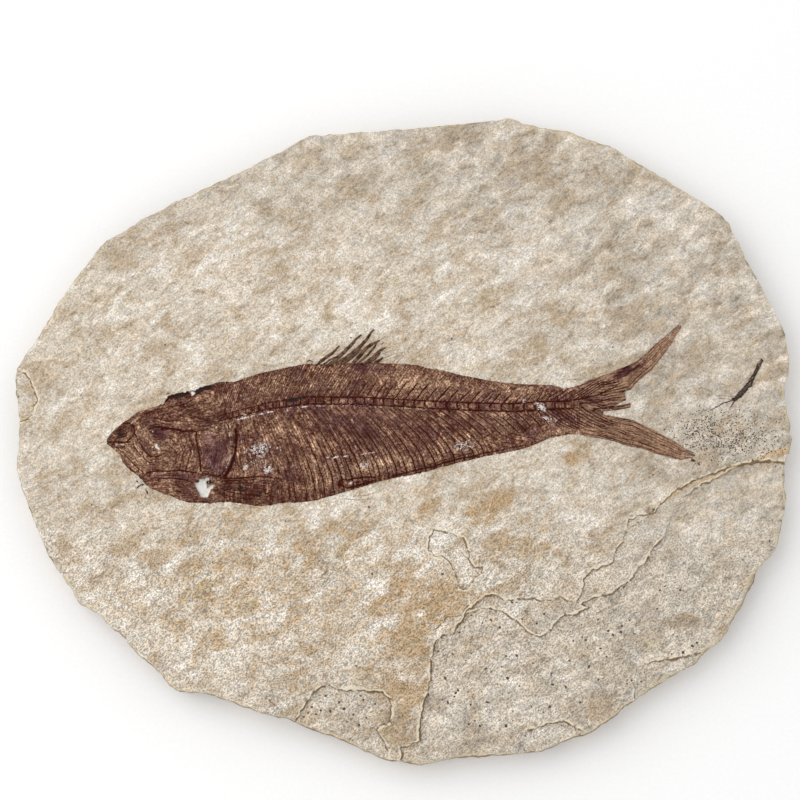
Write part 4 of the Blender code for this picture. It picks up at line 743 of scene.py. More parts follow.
def pinched_points(bm):
    """The points where a sheet only hangs together by a corner."""
    return [vert for vert in bm.verts if sum(edge.is_boundary for edge in vert.link_edges) > 2]


def extrude_rim(bm, edges):
    """Draws the edges out of a sheet's rim, and returns the new rim's points and edges."""
    made = bmesh.ops.extrude_edge_only(bm, edges=edges)["geom"]
    verts = [item for item in made if isinstance(item, bmesh.types.BMVert)]
    rim = [item for item in made if isinstance(item, bmesh.types.BMEdge) and item.is_boundary]
    return verts, rim


def cut_away(bm, gone):
    """Deletes the faces that are marked as gone."""
    bmesh.ops.delete(bm, geom=[face for face, cut in zip(bm.faces, gone) if cut], context="FACES")


# Stone

EDGE_SPACING = 0.8
TOP_INSET = 0.12
SPALL_WANDER = 0.45
SPALL_WALL = 0.3
FOOT_DEPTH, RIM_DEPTH, BREAK_WIDTH = 0.18, -0.22, 0.2
CRACK_WIDTH, CRACK_DEPTH = 0.25, 0.08
BREAK_REACH = (-0.7, 0.8)
DEEPEST_LAYER = 1.1
RIM_DROP, RIM_BROKEN = 0.12, 0.3
RINGS_SMOOTHED = 4


def broken_outline(roughness):
    """The slab's outline in short steps, the outward direction there, and how far its top is worn back."""
    closed = np.array(SLAB_EDGE + SLAB_EDGE[:1])
    steps = round(span(np.diff(closed, axis=0)).sum() / EDGE_SPACING)
    points = points_along(closed, np.arange(steps) / steps)
    for _ in range(2):
        points = (np.roll(points, 1, axis=0) + 2 * points + np.roll(points, -1, axis=0)) / 4
    outward = left_of(np.roll(points, -1, axis=0) - np.roll(points, 1, axis=0))
    wander = roughness * (noise_at(points, 5.0, 2.0) + 0.9 * noise_at(points, 1.5, 5.0))
    worn = TOP_INSET + 0.15 * (1 + noise_at(points, 3.0, 9.0))
    patchy = 1 + 0.4 * noise_at(points, 4.0, 8.0)
    for x, y, reach, width in WORN_EDGES:
        worn = worn + width * bump(span(points - (x, y)), reach) * patchy
    return points + outward * wander[:, None], outward, worn


def stone_swell(points, height):
    """Height of the low swells in the split face over its mean level."""
    along = turned(points, 35, 1.7)
    broad, narrow, fine = noise_at(along, 7.5, 3.1), noise_at(along, 2.4, 7.7), noise_at(points, 1.0, 1.3)
    return height * (broad + 0.5 * narrow + 0.2 * fine)


def spalled(points):
    """Level of the split face where layers have come off, with the feet and rims of the breaks: the marks for
    painted shadow over brown staining at each foot and a painted highlight on each rim.
    """
    moved = points + SPALL_WANDER * shifts_at(points, 1.9, (11.0, 17.0), 3)
    patchy = np.clip(0.98 + 0.6 * noise_at(points, 2.6, 21.0), 0.5, 1.3)
    shown = (1 - np.clip(patches(points, HEALED_BREAKS), 0, 1)) * patchy
    level = np.full(len(points), TOP)
    foot, rim, near = np.zeros(len(points)), np.zeros(len(points)), np.zeros(len(points), bool)
    for outline, floor in SPALLS:
        depth = depth_inside(moved, outline)
        level = np.minimum(level, TOP - (TOP - floor) * ease(depth, 0, SPALL_WALL))
        # painted shadow over brown staining at the foot of each step, painted highlight along its rim
        foot = np.maximum(foot, shown * bump(depth - FOOT_DEPTH, BREAK_WIDTH))
        rim = np.maximum(rim, shown * bump(depth - RIM_DEPTH, BREAK_WIDTH))
        near |= (depth > BREAK_REACH[0]) & (depth < BREAK_REACH[1])
    for crack in CRACKS:
        away = distance_to(moved, crack)
        # each crack gets a dark foot mark too: painted shade in the crack
        foot = np.maximum(foot, 0.85 * patchy * bump(away, 0.14))
        level = level - CRACK_DEPTH * bump(away, CRACK_WIDTH)
        near |= away < 0.6
    return level, np.clip(foot, 0, 1), np.clip(rim, 0, 1), near


def stone_height(points, swell):
    return spalled(points)[0] + stone_swell(points, swell)


def rim_places(loop, outline):
    """Where each point round a sheet's rim belongs on an outline, evenly spread, in steps of the outline."""
    total = len(outline)
    index = np.array([np.argmin(span(outline - place)) for place in flat_points(loop)], float)
    steps = (np.roll(index, -1) - index + total / 2) % total - total / 2
    sense = np.sign(steps.sum())
    index = index[0] + np.concatenate(([0.0], np.cumsum(steps)[:-1]))
    for _ in range(8):
        after, before = np.roll(index, -1), np.roll(index, 1)
        after[-1] += sense * total
        before[0] -= sense * total
        index = (before + 2 * index + after) / 4
    return index


def smooth_border(bm, loop):
    """Evens out the rings of points behind a sheet's rim."""
    ring, seen, border = loop, set(loop), []
    for _ in range(RINGS_SMOOTHED):
        found = [vert.link_edges for vert in ring]
        ring = [edge.other_vert(vert) for vert, edges in zip(ring, found) for edge in edges]
        ring = [vert for vert in dict.fromkeys(ring) if vert not in seen]
        seen.update(ring)
        border += ring
    for _ in range(6):
        bmesh.ops.smooth_vert(bm, verts=border, factor=0.5, use_axis_x=True, use_axis_y=True)


def split_face(settings):
    """The split face as a flat net cut to the slab's outline; its rim knows its place on the broken edge."""
    cell = settings.cell / MM
    edge, outward, worn = broken_outline(settings.edge_roughness / MM)
    top_edge = edge - outward * worn[:, None]
    low, high = top_edge.min(axis=0), top_edge.max(axis=0)
    across, deep = (int(cells) for cells in np.ceil((high - low) / cell))
    bm = bmesh.new()
    home, away = bm.verts.layers.float_vector.new("home"), bm.verts.layers.float_vector.new("away")
    bmesh.ops.create_grid(bm, x_segments=across, y_segments=deep, size=0.5)
    bmesh.ops.scale(bm, verts=bm.verts[:], vec=(across * cell, deep * cell, 1.0))
    bmesh.ops.translate(bm, verts=bm.verts[:], vec=(*((low + high) / 2), 0.0))
    middles = np.array([face.calc_center_median().xy for face in bm.faces])
    cut_away(bm, ~inside(middles, top_edge - outward * 0.3 * cell))

    loop = rim_loop(bm)
    index = rim_places(loop, top_edge)
    whole = np.floor(index).astype(int)
    part = (index - whole)[:, None]

    def on_outline(values):
        return values[whole % len(edge)] * (1 - part) + values[(whole + 1) % len(edge)] * part

    for vert, top, place, out in zip(loop, on_outline(top_edge), on_outline(edge), on_outline(outward)):
        vert.co = (*top, 0.0)
        vert[home], vert[away] = (*place, 0.0), (*out, 0.0)
    smooth_border(bm, loop)

    near = spalled(flat_points(bm.verts))[3]
    marked = {vert for vert, close in zip(bm.verts, near) if close}
    fine = [edge for edge in bm.edges if edge.verts[0] in marked and edge.verts[1] in marked]
    bmesh.ops.subdivide_edges(bm, edges=fine, cuts=3, use_grid_fill=True)
    return bm, home, away


def break_edge(bm, home, away, broken, rough):
    """Carries the rim of the split face down the broken edge, ring by ring."""
    reach = bm.verts.layers.float.new("reach")
    edges = rim_edges(bm)
    for vert in bm.verts:
        if vert.is_boundary:
            vert[reach] = vert.co.z
            vert.co.z -= RIM_DROP
            vert[broken] = RIM_BROKEN
    for share, out in EDGE_RINGS:
        verts, edges = extrude_rim(bm, edges)
        for vert in verts:
            height = share * vert[reach]
            place = vert[home]
            stir = noise.fractal((place.x * 0.45, place.y * 0.45, height * 0.9), 1.0, 2.0, 4)
            chip = noise.noise((place.x * 0.16, place.y * 0.16, height * 0.5 + 40))
            lift = 0.22 * noise.noise((place.x * 0.3, place.y * 0.3, share * 9)) if 0.05 < share < 0.97 else 0
            where = place + vert[away] * (out + rough * stir + 0.5 * rough * chip)
            vert.co = (where.x, where.y, height + lift)
            vert[broken] = min(1.0, RIM_BROKEN + 6 * (1 - share))
    return edges


def close_underside(bm, home, away, edges):
    """Draws the foot of the broken edge together into a flat, faintly hollow underside."""
    centre = Vector((*MIDDLE, 0.0))
    for share in UNDERSIDE_RINGS:
        verts, edges = extrude_rim(bm, edges)
        for vert in verts:
            place = centre + (vert[home] - centre - vert[away] * 0.7) * share
            hollow = 0.12 * ease(1 - share, 0.0, 0.05) * (1 + noise.noise((place.x * 0.2, place.y * 0.2, 77)))
            vert.co = (place.x, place.y, hollow)
    bmesh.ops.contextual_create(bm, geom=edges)


def make_stone(settings, material):
    bm, home, away = split_face(settings)
    broken = bm.verts.layers.float.new("broken")
    for vert, height in zip(bm.verts, stone_height(flat_points(bm.verts), settings.swell / MM)):
        vert.co.z = height
    edges = break_edge(bm, home, away, broken, settings.edge_roughness / MM)
    close_underside(bm, home, away, edges)
    points = flat_points(bm.verts)
    level, foot, rim, _ = spalled(points)
    on_face = 1 - np.array([vert[broken] for vert in bm.verts])
    write_marks(bm, {
        "layer": (TOP - level) / DEEPEST_LAYER,
        "foot": foot * on_face,
        "rim": rim * on_face,
        "rust": patches(points + 1.2 * shifts_at(points, 4.0, (31.0, 37.0)), RUST_STAINS),
        "umber": patches(points, UMBER_STAINS),
        "olive": patches(points, OLIVE_STAINS),
        "pale": patches(points, PALE_STAINS),
        "lip": strokes(points, LIPS),
    })
    piece = finish_piece(bm, "limestone_slab", material)
    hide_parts("slab")


# Fish

ROOT_SHARE = 0.22
GAP_ROWS = 4
SKIRT_FLOOR = 8.5
EDGE_RELIEF = 0.12
RIB_CREST = 0.12
RAYS_IN_LOBE = 7
WRINKLE_PITCH = 1.15
FAN_HALF_WIDTH, FAN_STRENGTH = 0.15, 0.8
NAPE, NAPE_REACH = (-56.5, 12), 4.5
RIB_STRENGTH = (
    (-50, 0), (-43, 0.15), (-37, 0.4), (-31, 0.95), (-20, 1.2), (8, 1.15), (28, 0.9), (38, 0.6), (44, 0),
)
SPINE_STRENGTH = ((-50, 0), (-42, 0.1), (-25, 0.3), (-10, 0.75), (0, 0.95), (38, 1), (44, 0.3))
COLUMN_HALF_HEIGHT = ((-62, 0.4), (-45, 0.6), (-30, 0.8), (0, 0.8), (36, 0.9), (45, 0.7))
# The rear edge of the head, from belly to back
HEAD_REAR = ((-16, -46), (-9.2, -45.4), (-3.5, -43.1), (2.9, -43), (7.2, -46), (11, -46.3), (16, -48.6))
JAW = ((-75.2, -1.1), (-71, -4.6), (-65.6, -10.2))
MOUTH = ((-75.6, -0.2), (-71.5, -0.8), (-66.5, -3.2))
SKULL_ROOF = ((-73.5, 2.4), (-67, 6.6), (-60, 8.8), (-50, 11.8))
CHEEK_BONE = ((-56.5, 1), (-54.6, -3), (-56.4, -8.6), (-63, -9))
SHOULDER_BONE = ((-44.9, 5), (-42.6, -2.6), (-44.6, -8.6))
HEAD_GUIDES = (
    JAW, SKULL_ROOF, CHEEK_BONE, SHOULDER_BONE,
    ((-68, 3.4), (-65, 4.6), (-61, 4), (-55, 3.2), (-48, 3.4)),
    ((-67.6, -0.6), (-64.6, -4), (-60, -2), (-57, -4.6)), ((-65.6, -11.8), (-58, -11.4), (-48, -12.4)),
)
BREAST_FIN = ((-45.6, -10.2), (-39, -11.6), (-32.5, -12.6))
BELLY_FIN = ((-16.4, -11.2), (-12, -10.9), (-6.6, -9.7))


def vertebra_number(x):
    """How many vertebrae lie between the back of the skull and x."""
    marks = np.linspace(SNOUT_X, TAIL_ROOT_X, 400)
    numbers = np.concatenate(([0.0], np.cumsum(np.diff(marks) / value_at(VERTEBRA_LENGTH, marks[1:]))))
    return np.interp(x, marks, numbers)


def body_points(bone_x, row, lower, upper):
    """Points of the fish's body: columns follow the ribs and the spines."""
    bone = value_at(BACKBONE, bone_x)
    half = np.minimum(HALF_BONE, 0.12 * (value_at(BACK_EDGE, bone_x) - value_at(BELLY_EDGE, bone_x)))
    down = np.clip(1 - row / lower, 0, 1)
    belly_x = bone_x + value_at(RIB_LEAN, bone_x)
    up = np.clip((row - lower - GAP_ROWS) / upper, 0, 1)
    back_x = bone_x + value_at(SPINE_LEAN, bone_x)
    across = np.clip((row - lower) / GAP_ROWS, 0, 1) * 2 - 1
    x = bone_x + (belly_x - bone_x) * (1 - (1 - down) ** 1.6) + (back_x - bone_x) * up
    y = bone + half * across
    y = y + (value_at(BELLY_EDGE, belly_x) - y) * down + (value_at(BACK_EDGE, back_x) - y) * up
    return np.column_stack((x, y)), down, up


def tail_points(along, row, lower, upper):
    """Points of the tail fin: rows follow its rays."""
    points = np.zeros((len(along), 2))
    root = along <= ROOT_SHARE
    under = row <= lower
    share = np.where(under, row / lower, np.clip((row - lower - GAP_ROWS) / upper, 0, 1))
    on_root, on_lobe = along / ROOT_SHARE, (along - ROOT_SHARE) / (1 - ROOT_SHARE)
    for part, low, high, fraction in (
        (root & under, LOWER_ROOT, ROOT_UNDER_FORK, on_root),
        (root & ~under, ROOT_OVER_FORK, UPPER_ROOT, on_root),
        (~root & under, LOWER_LOBE_OUTER, LOWER_LOBE_INNER, on_lobe),
        (~root & ~under, UPPER_LOBE_INNER, UPPER_LOBE_OUTER, on_lobe),
    ):
        start, end = points_along(low, fraction[part]), points_along(high, fraction[part])
        points[part] = start + (end - start) * share[part][:, None]
    return points, share


def ridge(points, line, height, width):
    """Height of a rounded ridge along a line."""
    return height * bump(distance_to(points, line), width)


def head_relief(points):
    """Eye, gill cover, jaws, skull roof and the bones beside them."""
    eye = span((points - EYE) / EYE_RADII)
    gill = span((points - GILL_COVER) / GILL_COVER_RADII)
    height = 0.3 * bump(eye - 1.15, 0.28) - 0.25 * bump(eye, 0.75)
    height += 0.3 * bump(gill, 0.8) + 0.25 * bump(gill - 0.93, 0.12)
    height -= np.where(points[:, 0] > GILL_COVER[0], 0.42 * bump(gill - 1.12, 0.09), 0)
    height += ridge(points, JAW, 0.4, 0.8) - ridge(points, MOUTH, 0.4, 0.45)
    height += ridge(points, SKULL_ROOF, 0.32, 0.9)
    height += ridge(points, CHEEK_BONE, 0.3, 0.8)
    return height + ridge(points, SHOULDER_BONE, 0.28, 0.7)


def fish_relief(points, share):
    """Height of the fish over the stone, without its ribs and rays. share runs from belly to back."""
    height = EDGE_RELIEF + value_at(DOME, points[:, 0]) * (4 * share * (1 - share)) ** 0.4
    head = 1 - ease(points[:, 0], NAPE_X + 2, NAPE_X + 5)
    height += head * head_relief(points) * np.minimum(1, 6 * share * (1 - share) + 0.2)
    height += ridge(points, BELLY_FIN, 0.2, 0.8) + ridge(points, BREAST_FIN, 0.2, 1.6)
    lost = depth_inside(points, LOST_PATCH)
    return height + (np.minimum(height, 0.04) - height) * ease(lost, -0.35, 0.25)


def belly_to_back(points):
    low, high = value_at(BELLY_EDGE, points[:, 0]), value_at(BACK_EDGE, points[:, 0])
    return np.clip((points[:, 1] - low) / (high - low), 0, 1)


def rib_marks(points, bone_x, down, up):
    """Rib number at each point of the body, how strong the ribs and the finer bones are, and the backbone."""
    number = vertebra_number(bone_x) + 0.5 + 0.07 * noise_at(points, 2.6, 41.0)
    patchy = 0.9 + 0.4 * noise_at(points, 2.2, 43.0)
    rear = ease(bone_x, 6, 14)
    front = 1 - ease(bone_x, -6, 10)
    low = value_at(RIB_STRENGTH, bone_x) * ease(down, 0.02, 0.12) * (1 - 0.75 * rear * ease(down, 0.5, 0.72))
    low *= 1 - 0.6 * front * (1 - ease(down, 0.2, 0.5))
    high = value_at(SPINE_STRENGTH, bone_x) * (1 - 0.85 * ease(up, 0.42, 0.62))
    ribs = np.where(up > 0, high, low) * patchy
    hatch = (up > 0) * (1 - 0.75 * ease(bone_x, -18, -6)) + (down > 0) * (0.75 - 0.5 * rear)
    bone = value_at(BACKBONE, points[:, 0])
    off = (points[:, 1] - bone) / value_at(COLUMN_HALF_HEIGHT, points[:, 0])
    column = ease(points[:, 0], -50, -46) * (1 - ease(points[:, 0], 42, 46))
    return number, ribs, hatch * patchy, off, column


def head_number(points):
    """Number of each wrinkle of the head: the wrinkles run side by side with its bones."""
    away = np.min([distance_to(points, guide) for guide in HEAD_GUIDES], axis=0)
    return (away + 0.5 * noise_at(points, 2.2, 55.0)) / WRINKLE_PITCH


def fan_lines():
    """The parallel bones that run from the backbone into the tail."""
    return tuple(
        (FAN_HALF_WIDTH, FAN_STRENGTH, np.array(line) + np.array(step) * index)
        for line, step, bones in TAIL_FANS for index in range(bones)
    )


def tear_tail(bm, cells, settings):
    """Opens the fork and the torn ends of the rays. cells holds the row and column of each point."""
    body, lower = settings.body_columns, settings.lower_rows
    centres = np.array([face.calc_center_median().xy for face in bm.faces])
    column, row = np.array([cells[[vert.index for vert in face.verts]].mean(axis=0) for face in bm.faces]).T
    torn = (column > body + ROOT_SHARE * settings.tail_columns) & (row > lower) & (row < lower + GAP_ROWS)
    for tear in TAIL_TEARS:
        torn |= (column > body) & inside(centres, tear)
    cut_away(bm, torn)
    pinched = pinched_points(bm)
    while pinched:
        bmesh.ops.delete(bm, geom=pinched, context="VERTS")
        pinched = pinched_points(bm)


def make_fish(settings, swell, material):
    body, tail = settings.body_columns, settings.tail_columns
    lower, upper = settings.lower_rows, settings.upper_rows
    columns, rows = body + tail, lower + GAP_ROWS + upper
    bm = bmesh.new()
    bmesh.ops.create_grid(bm, x_segments=columns, y_segments=rows, size=1.0)
    cells = (flat_points(bm.verts) + 1) / 2 * (columns, rows)
    column, row = np.round(cells).T
    on_body = column <= body
    bone_x = SNOUT_X + (TAIL_ROOT_X - SNOUT_X) * np.minimum(column / body, 1)
    along = np.clip((column - body) / tail, 0, 1)
    points, down, up = body_points(bone_x, row, lower, upper)
    tail_xy, share = tail_points(along, row, lower, upper)
    points[~on_body] = tail_xy[~on_body]
    ragged = shifts_at(points, 0.9, (51.0, 53.0), 3)
    from_side = np.minimum(row, rows - row)
    frayed = 0.1 + 0.12 * on_body + 0.35 * bump(span(points - NAPE), NAPE_REACH)
    points += (frayed * np.exp(-np.minimum(from_side, columns - column) / 3))[:, None] * ragged

    in_head = on_body & (points[:, 0] < np.interp(points[:, 1], *np.array(HEAD_REAR).T))

    def by_part(head, trunk, fin):
        return np.where(on_body, np.where(in_head, head, trunk), fin)

    lines = strokes(points, DARK_LINES + fan_lines())
    number, ribs, hatch, off, backbone = rib_marks(points, bone_x, down, up)
    ray = share * RAYS_IN_LOBE + 0.3 * noise_at(np.column_stack((along * 9, share * 3)), 1.0, 61.0)
    number = by_part(head_number(points), number, ray)
    violet = patches(points, VIOLET_PATCHES)
    wrinkles = 0.4 * (1 - 0.75 * np.clip(violet, 0, 1))
    ribs, hatch = by_part(wrinkles, ribs, 0.0), by_part(wrinkles, hatch, 0.0)
    shade = 0.85 * patches(points, DARK_PATCHES) * (1 + 0.5 * noise_at(points, 1.2, 67.0))
    pale = np.maximum(strokes(points, PALE_LINES), patches(points, PALE_PATCHES))
    lost = ease(depth_inside(points + 0.3 * ragged, LOST_PATCH), -0.1, 0.12)
    for outline in (WHITE_FLECK, NAPE_NOTCH):
        lost = np.maximum(lost, ease(depth_inside(points + 0.25 * ragged, outline), -0.1, 0.12))
    write_marks(bm, {
        "number": number, "ribs": ribs,
        "rays": ~on_body * (0.5 + 0.5 * ease(along, 0, ROOT_SHARE) - 0.3 * along), "hatch": hatch,
        "off": np.clip(off, -9, 9), "column": backbone * on_body, "lines": np.clip(lines, 0, 1),
        "shade": np.clip(np.maximum(shade, 0.5 * np.exp(-from_side / 2.0)), 0, 1),
        "pale": np.clip(pale, 0, 1), "lost": lost, "violet": violet, "tan": patches(points, TAN_PATCHES),
        "fibre": by_part(number * WRINKLE_PITCH, bone_x, share * 4),
        "length": by_part(points @ (0.5, 0.5), down * 16 - up * 10, along * 18),
    })

    crest = ribs * bump(np.abs(number % 1 - 0.5), RIB_CREST)
    height = fish_relief(points, np.where(on_body, belly_to_back(points), share))
    height += settings.rib_relief / MM * (crest - 0.3 * ribs)
    height += 0.24 * on_body * backbone * bump(off, 0.8)
    height += 0.05 * noise_at(points, 0.8, 73.0, 3) - 0.08 * lines
    height = np.maximum(height, 0.03) + stone_swell(points, swell)
    for vert, point, rise in zip(bm.verts, points, height):
        vert.co = (*point, TOP + rise)
    tear_tail(bm, cells, settings)
    verts, edges = extrude_rim(bm, rim_edges(bm))
    for vert in verts:
        vert.co.z = SKIRT_FLOOR
    bmesh.ops.contextual_create(bm, geom=edges)
    piece = finish_piece(bm, "fish_body", material)
    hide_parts("fish")


# Strips that lie on the stone: fin rays, hairs, the plant scrap

STRIP_DEPTH = 0.25
RAY_BREADTH, RAY_TAPER = 1.2, (0.7, 1, 0.9, 0.75, 0.35)
HAIR_HALF_WIDTHS = (0.09, 0.07, 0.03)
SCRAP_TAPER = (0.4, 1, 0.9, 0.4)
THREAD_TAPER = (0.8, 1, 0.7, 0.4)


def add_strip(bm, line, half_widths, base, crest, steps, rows, swell, rough=0.0):
    """Adds one closed, crowned strip along a line of points. Its half widths are given at even steps."""
    net = bmesh.ops.create_grid(bm, x_segments=steps, y_segments=rows, size=1.0)["verts"]
    marks = flat_points(net)
    along, across = (marks[:, 0] + 1) / 2, marks[:, 1]
    before, after = np.maximum(along - 0.04, 0), np.minimum(along + 0.04, 1)
    side = left_of(points_along(line, after) - points_along(line, before))
    half = np.interp(along, np.linspace(0, 1, len(half_widths)), half_widths)
    points = points_along(line, along) + side * (half * across)[:, None]
    points += rough * shifts_at(points, 0.7, (81.0, 83.0))
    stone = stone_height(points, swell)
    top = stone + base + crest * (1 - across ** 2) * (1 + 0.5 * noise_at(points, 0.5, 85.0) * (rough > 0))
    faces = list(dict.fromkeys(face for vert in net for face in vert.link_faces))
    made = bmesh.ops.extrude_face_region(bm, geom=faces)["geom"]
    for vert, point, low in zip(net, points, stone):
        vert.co = (*point, low - STRIP_DEPTH)
    lifted = {tuple(np.round(mark, 5)): (*point, high) for mark, point, high in zip(marks, points, top)}
    for vert in made:
        if isinstance(vert, bmesh.types.BMVert):
            vert.co = lifted[tuple(np.round(np.array(vert.co.xy), 5))]


def tapered(half, taper):
    return tuple(half * share for share in taper)


def make_back_fin(swell, material):
    bm = bmesh.new()
    for half, line in BACK_FIN_RAYS:
        add_strip(bm, line, tapered(half * RAY_BREADTH, RAY_TAPER), 0.14, 0.22, 34, 6, swell, 0.1)
    finish_piece(bm, "back_fin_rays", material)


def make_hairs(swell, material):
    bm = bmesh.new()
    for line in FIN_HAIRS:
        add_strip(bm, line, HAIR_HALF_WIDTHS, 0.01, 0.05, 16, 2, swell, 0.03)
    finish_piece(bm, "fin_hairs", material)


def make_scraps(swell, material):
    bm = bmesh.new()
    for half, line in BONE_SCRAPS:
        add_strip(bm, line, tapered(half, SCRAP_TAPER), 0.06, 0.16, 8, 4, swell, 0.12)
    finish_piece(bm, "bone_scraps", material)


def make_twig(swell, material):
    bm = bmesh.new()
    add_strip(bm, TWIG_LINE, TWIG_HALF_WIDTHS, 0.06, 0.34, 64, 8, swell, 0.27)
    for half, line in TWIG_THREADS:
        add_strip(bm, line, tapered(half, THREAD_TAPER), 0.02, 0.1, 20, 3, swell, 0.06)
    piece = finish_piece(bm, "plant_fragment_twig", material)
    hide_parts("plant_fragment")


# Grains and crumbs

# Random grains: how many are tried, the corners of their field, and their least and greatest size
CORNER_GRAINS = (420, (8, -76), (88, -30), (0.3, 0.7))
FACE_GRAINS = (260, (-96, -70), (96, 80), (0.25, 0.5))
PIT_SIZES, SPECK_SIZES, DRIFT_SIZES = (0.9, 1.5), (0.7, 1.1), (0.3, 0.75)
GRAIN_LEAN, GRAIN_SINK, CRUMB_LIFT = 0.4, 0.1, 0.08


def in_fish(x, y):
    if x > TAIL_ROOT_X:
        return x < 76 and abs(y - 9) < 24
    return value_at(BELLY_EDGE, x) - 1 < y < value_at(BACK_EDGE, x) + 1 and x > SNOUT_X - 1


def on_slab(x, y):
    return inside(np.array([(x, y)]), SLAB_EDGE)[0]


def on_lower_layer(x, y):
    return inside(np.array([(x, y)]), SECOND_LINE + BEYOND_CORNER)[0] and on_slab(x, y)


def add_grain(bm, draw, at, radii):
    """Adds one small lump with a random turn."""
    verts = bmesh.ops.create_icosphere(bm, subdivisions=1, radius=1.0)["verts"]
    spin = Matrix.Rotation(draw.uniform(0, math.tau), 4, "Z")
    lean = Matrix.Rotation(draw.uniform(-GRAIN_LEAN, GRAIN_LEAN), 4, "X")
    bmesh.ops.scale(bm, verts=verts, vec=radii)
    bmesh.ops.transform(bm, verts=verts, matrix=Matrix.Translation(at) @ (spin @ lean))


def scattered(draw, field, allowed):
    """Places tried at random in a field, each with a size where it is allowed."""
    tries, low, high, sizes = field
    spots = []
    for _ in range(tries):
        place = draw.uniform(low[0], high[0]), draw.uniform(low[1], high[1])
        if allowed(*place):
            spots.append((place, draw.uniform(*sizes)))
    return spots


def drifted(draw, wanted):
    """Places gathered in drifts beyond the tail, each with a size."""
    spots = []
    while len(spots) < wanted:
        middle, spread = draw.choice(GRAIN_DRIFTS)
        x, y = draw.gauss(middle[0], spread[0]), draw.gauss(middle[1], spread[1])
        if 66 < x < 98.6 and -7.5 + 0.12 * (x - 70) < y < 10:
            spots.append(((x, y), draw.uniform(*DRIFT_SIZES)))
    return spots


def make_grains(settings, material):
    """Dark mineral grains sunk into the stone."""
    draw = random.Random(7)
    spots = [(point, draw.uniform(*PIT_SIZES)) for point in PITS + FLAKE_PITS]
    spots += [(point, draw.uniform(*SPECK_SIZES)) for point in STRAY_SPECKS]
    spots += drifted(draw, settings.grain_count)
    spots += scattered(draw, CORNER_GRAINS, on_lower_layer)
    spots += scattered(draw, FACE_GRAINS, lambda x, y: on_slab(x, y) and not in_fish(x, y))
    heights = stone_height(np.array([point for point, _ in spots]), settings.swell / MM)
    bm = bmesh.new()
    for ((x, y), share), height in zip(spots, heights):
        size = settings.grain_radius / MM * share
        radii = (size * draw.uniform(0.9, 1.3), size * draw.uniform(0.7, 1.0), size * 0.55)
        add_grain(bm, draw, (x, y, height - GRAIN_SINK * size), radii)
    finish_piece(bm, "mineral_grains", material)


def make_calcite(swell, material):
    """White crumbs of calcite on the fish."""
    draw = random.Random(11)
    spots = []
    for (x, y), (long, wide), crumbs, largest in CALCITE_DRIFTS:
        for _ in range(crumbs):
            place = draw.gauss(x, long * 0.5), draw.gauss(y, wide * 0.5)
            spots.append((*place, largest * draw.uniform(0.3, 1.0)))
    points = np.array([spot[:2] for spot in spots])
    share = np.where(points[:, 0] < TAIL_ROOT_X, belly_to_back(points), 0.5)
    heights = TOP + fish_relief(points, share) + stone_swell(points, swell)
    bm = bmesh.new()
    for (x, y, size), height in zip(spots, heights):
        radii = (size * draw.uniform(0.7, 1.2), size * draw.uniform(0.35, 0.7), size * 0.3)
        add_grain(bm, draw, (x, y, height + CRUMB_LIFT), radii)
    finish_piece(bm, "calcite_crumbs", material)


# Finishes

MATH, MAP = "ShaderNodeMath", "ShaderNodeMapRange"


class Field:
    """A number that varies over a surface, as the output of a node."""

    def __init__(self, finish, socket):
        self.finish, self.socket = finish, socket

    def node(self, kind, inputs, **settings):
        output = "Value" if kind == MATH else "Result"
        return Field(self.finish, self.finish.add(kind, output, inputs, **settings))

    def math(self, operation, other=0.0):
        return self.node(MATH, {0: self, 1: other}, operation=operation)

    def __add__(self, other):
        return self.math("ADD", other)

    def __sub__(self, other):
        return self.math("SUBTRACT", other)

    def __mul__(self, other):
        return self.math("MULTIPLY", other)

    def __abs__(self):
        return self.math("ABSOLUTE")

    def most(self, other):
        return self.math("MAXIMUM", other)

    def held(self):
        """The result of a sum, held between 0 and 1."""
        self.socket.node.use_clamp = True
        return self

    def between(self, low, high):
        """0 where the field is low, 1 where it is high."""
        inputs = {"Value": self, "From Min": low, "From Max": high}
        return self.node(MAP, inputs, interpolation_type="SMOOTHSTEP")

    def spread(self, low, high, reach=0.2):
        """Stretches noise to run from low to high over a reach on either side of its mean, one half."""
        span = {"From Min": 0.5 - reach, "From Max": 0.5 + reach, "To Min": low, "To Max": high}
        return self.node(MAP, {"Value": self, **span})

    def lines(self, wide, narrow):
        """1 where the field is half way between two whole numbers, 0 a share of it away."""
        return abs(self.math("FRACT") - 0.5).between(wide, narrow)


class Paint:
    """A colour that varies over a surface, laid on coat by coat."""

    def __init__(self, finish, colour):
        self.finish, self.socket = finish, getattr(colour, "socket", colour)

    def coat(self, share, colour, blend="MIX"):
        self.socket = self.finish.mix(share, self, colour, blend)
        return self

    def shade(self, field, low, high, reach=0.2):
        """Darkens and lightens the colour by noise."""
        return self.coat(1.0, field.spread(low, high, reach), "MULTIPLY")


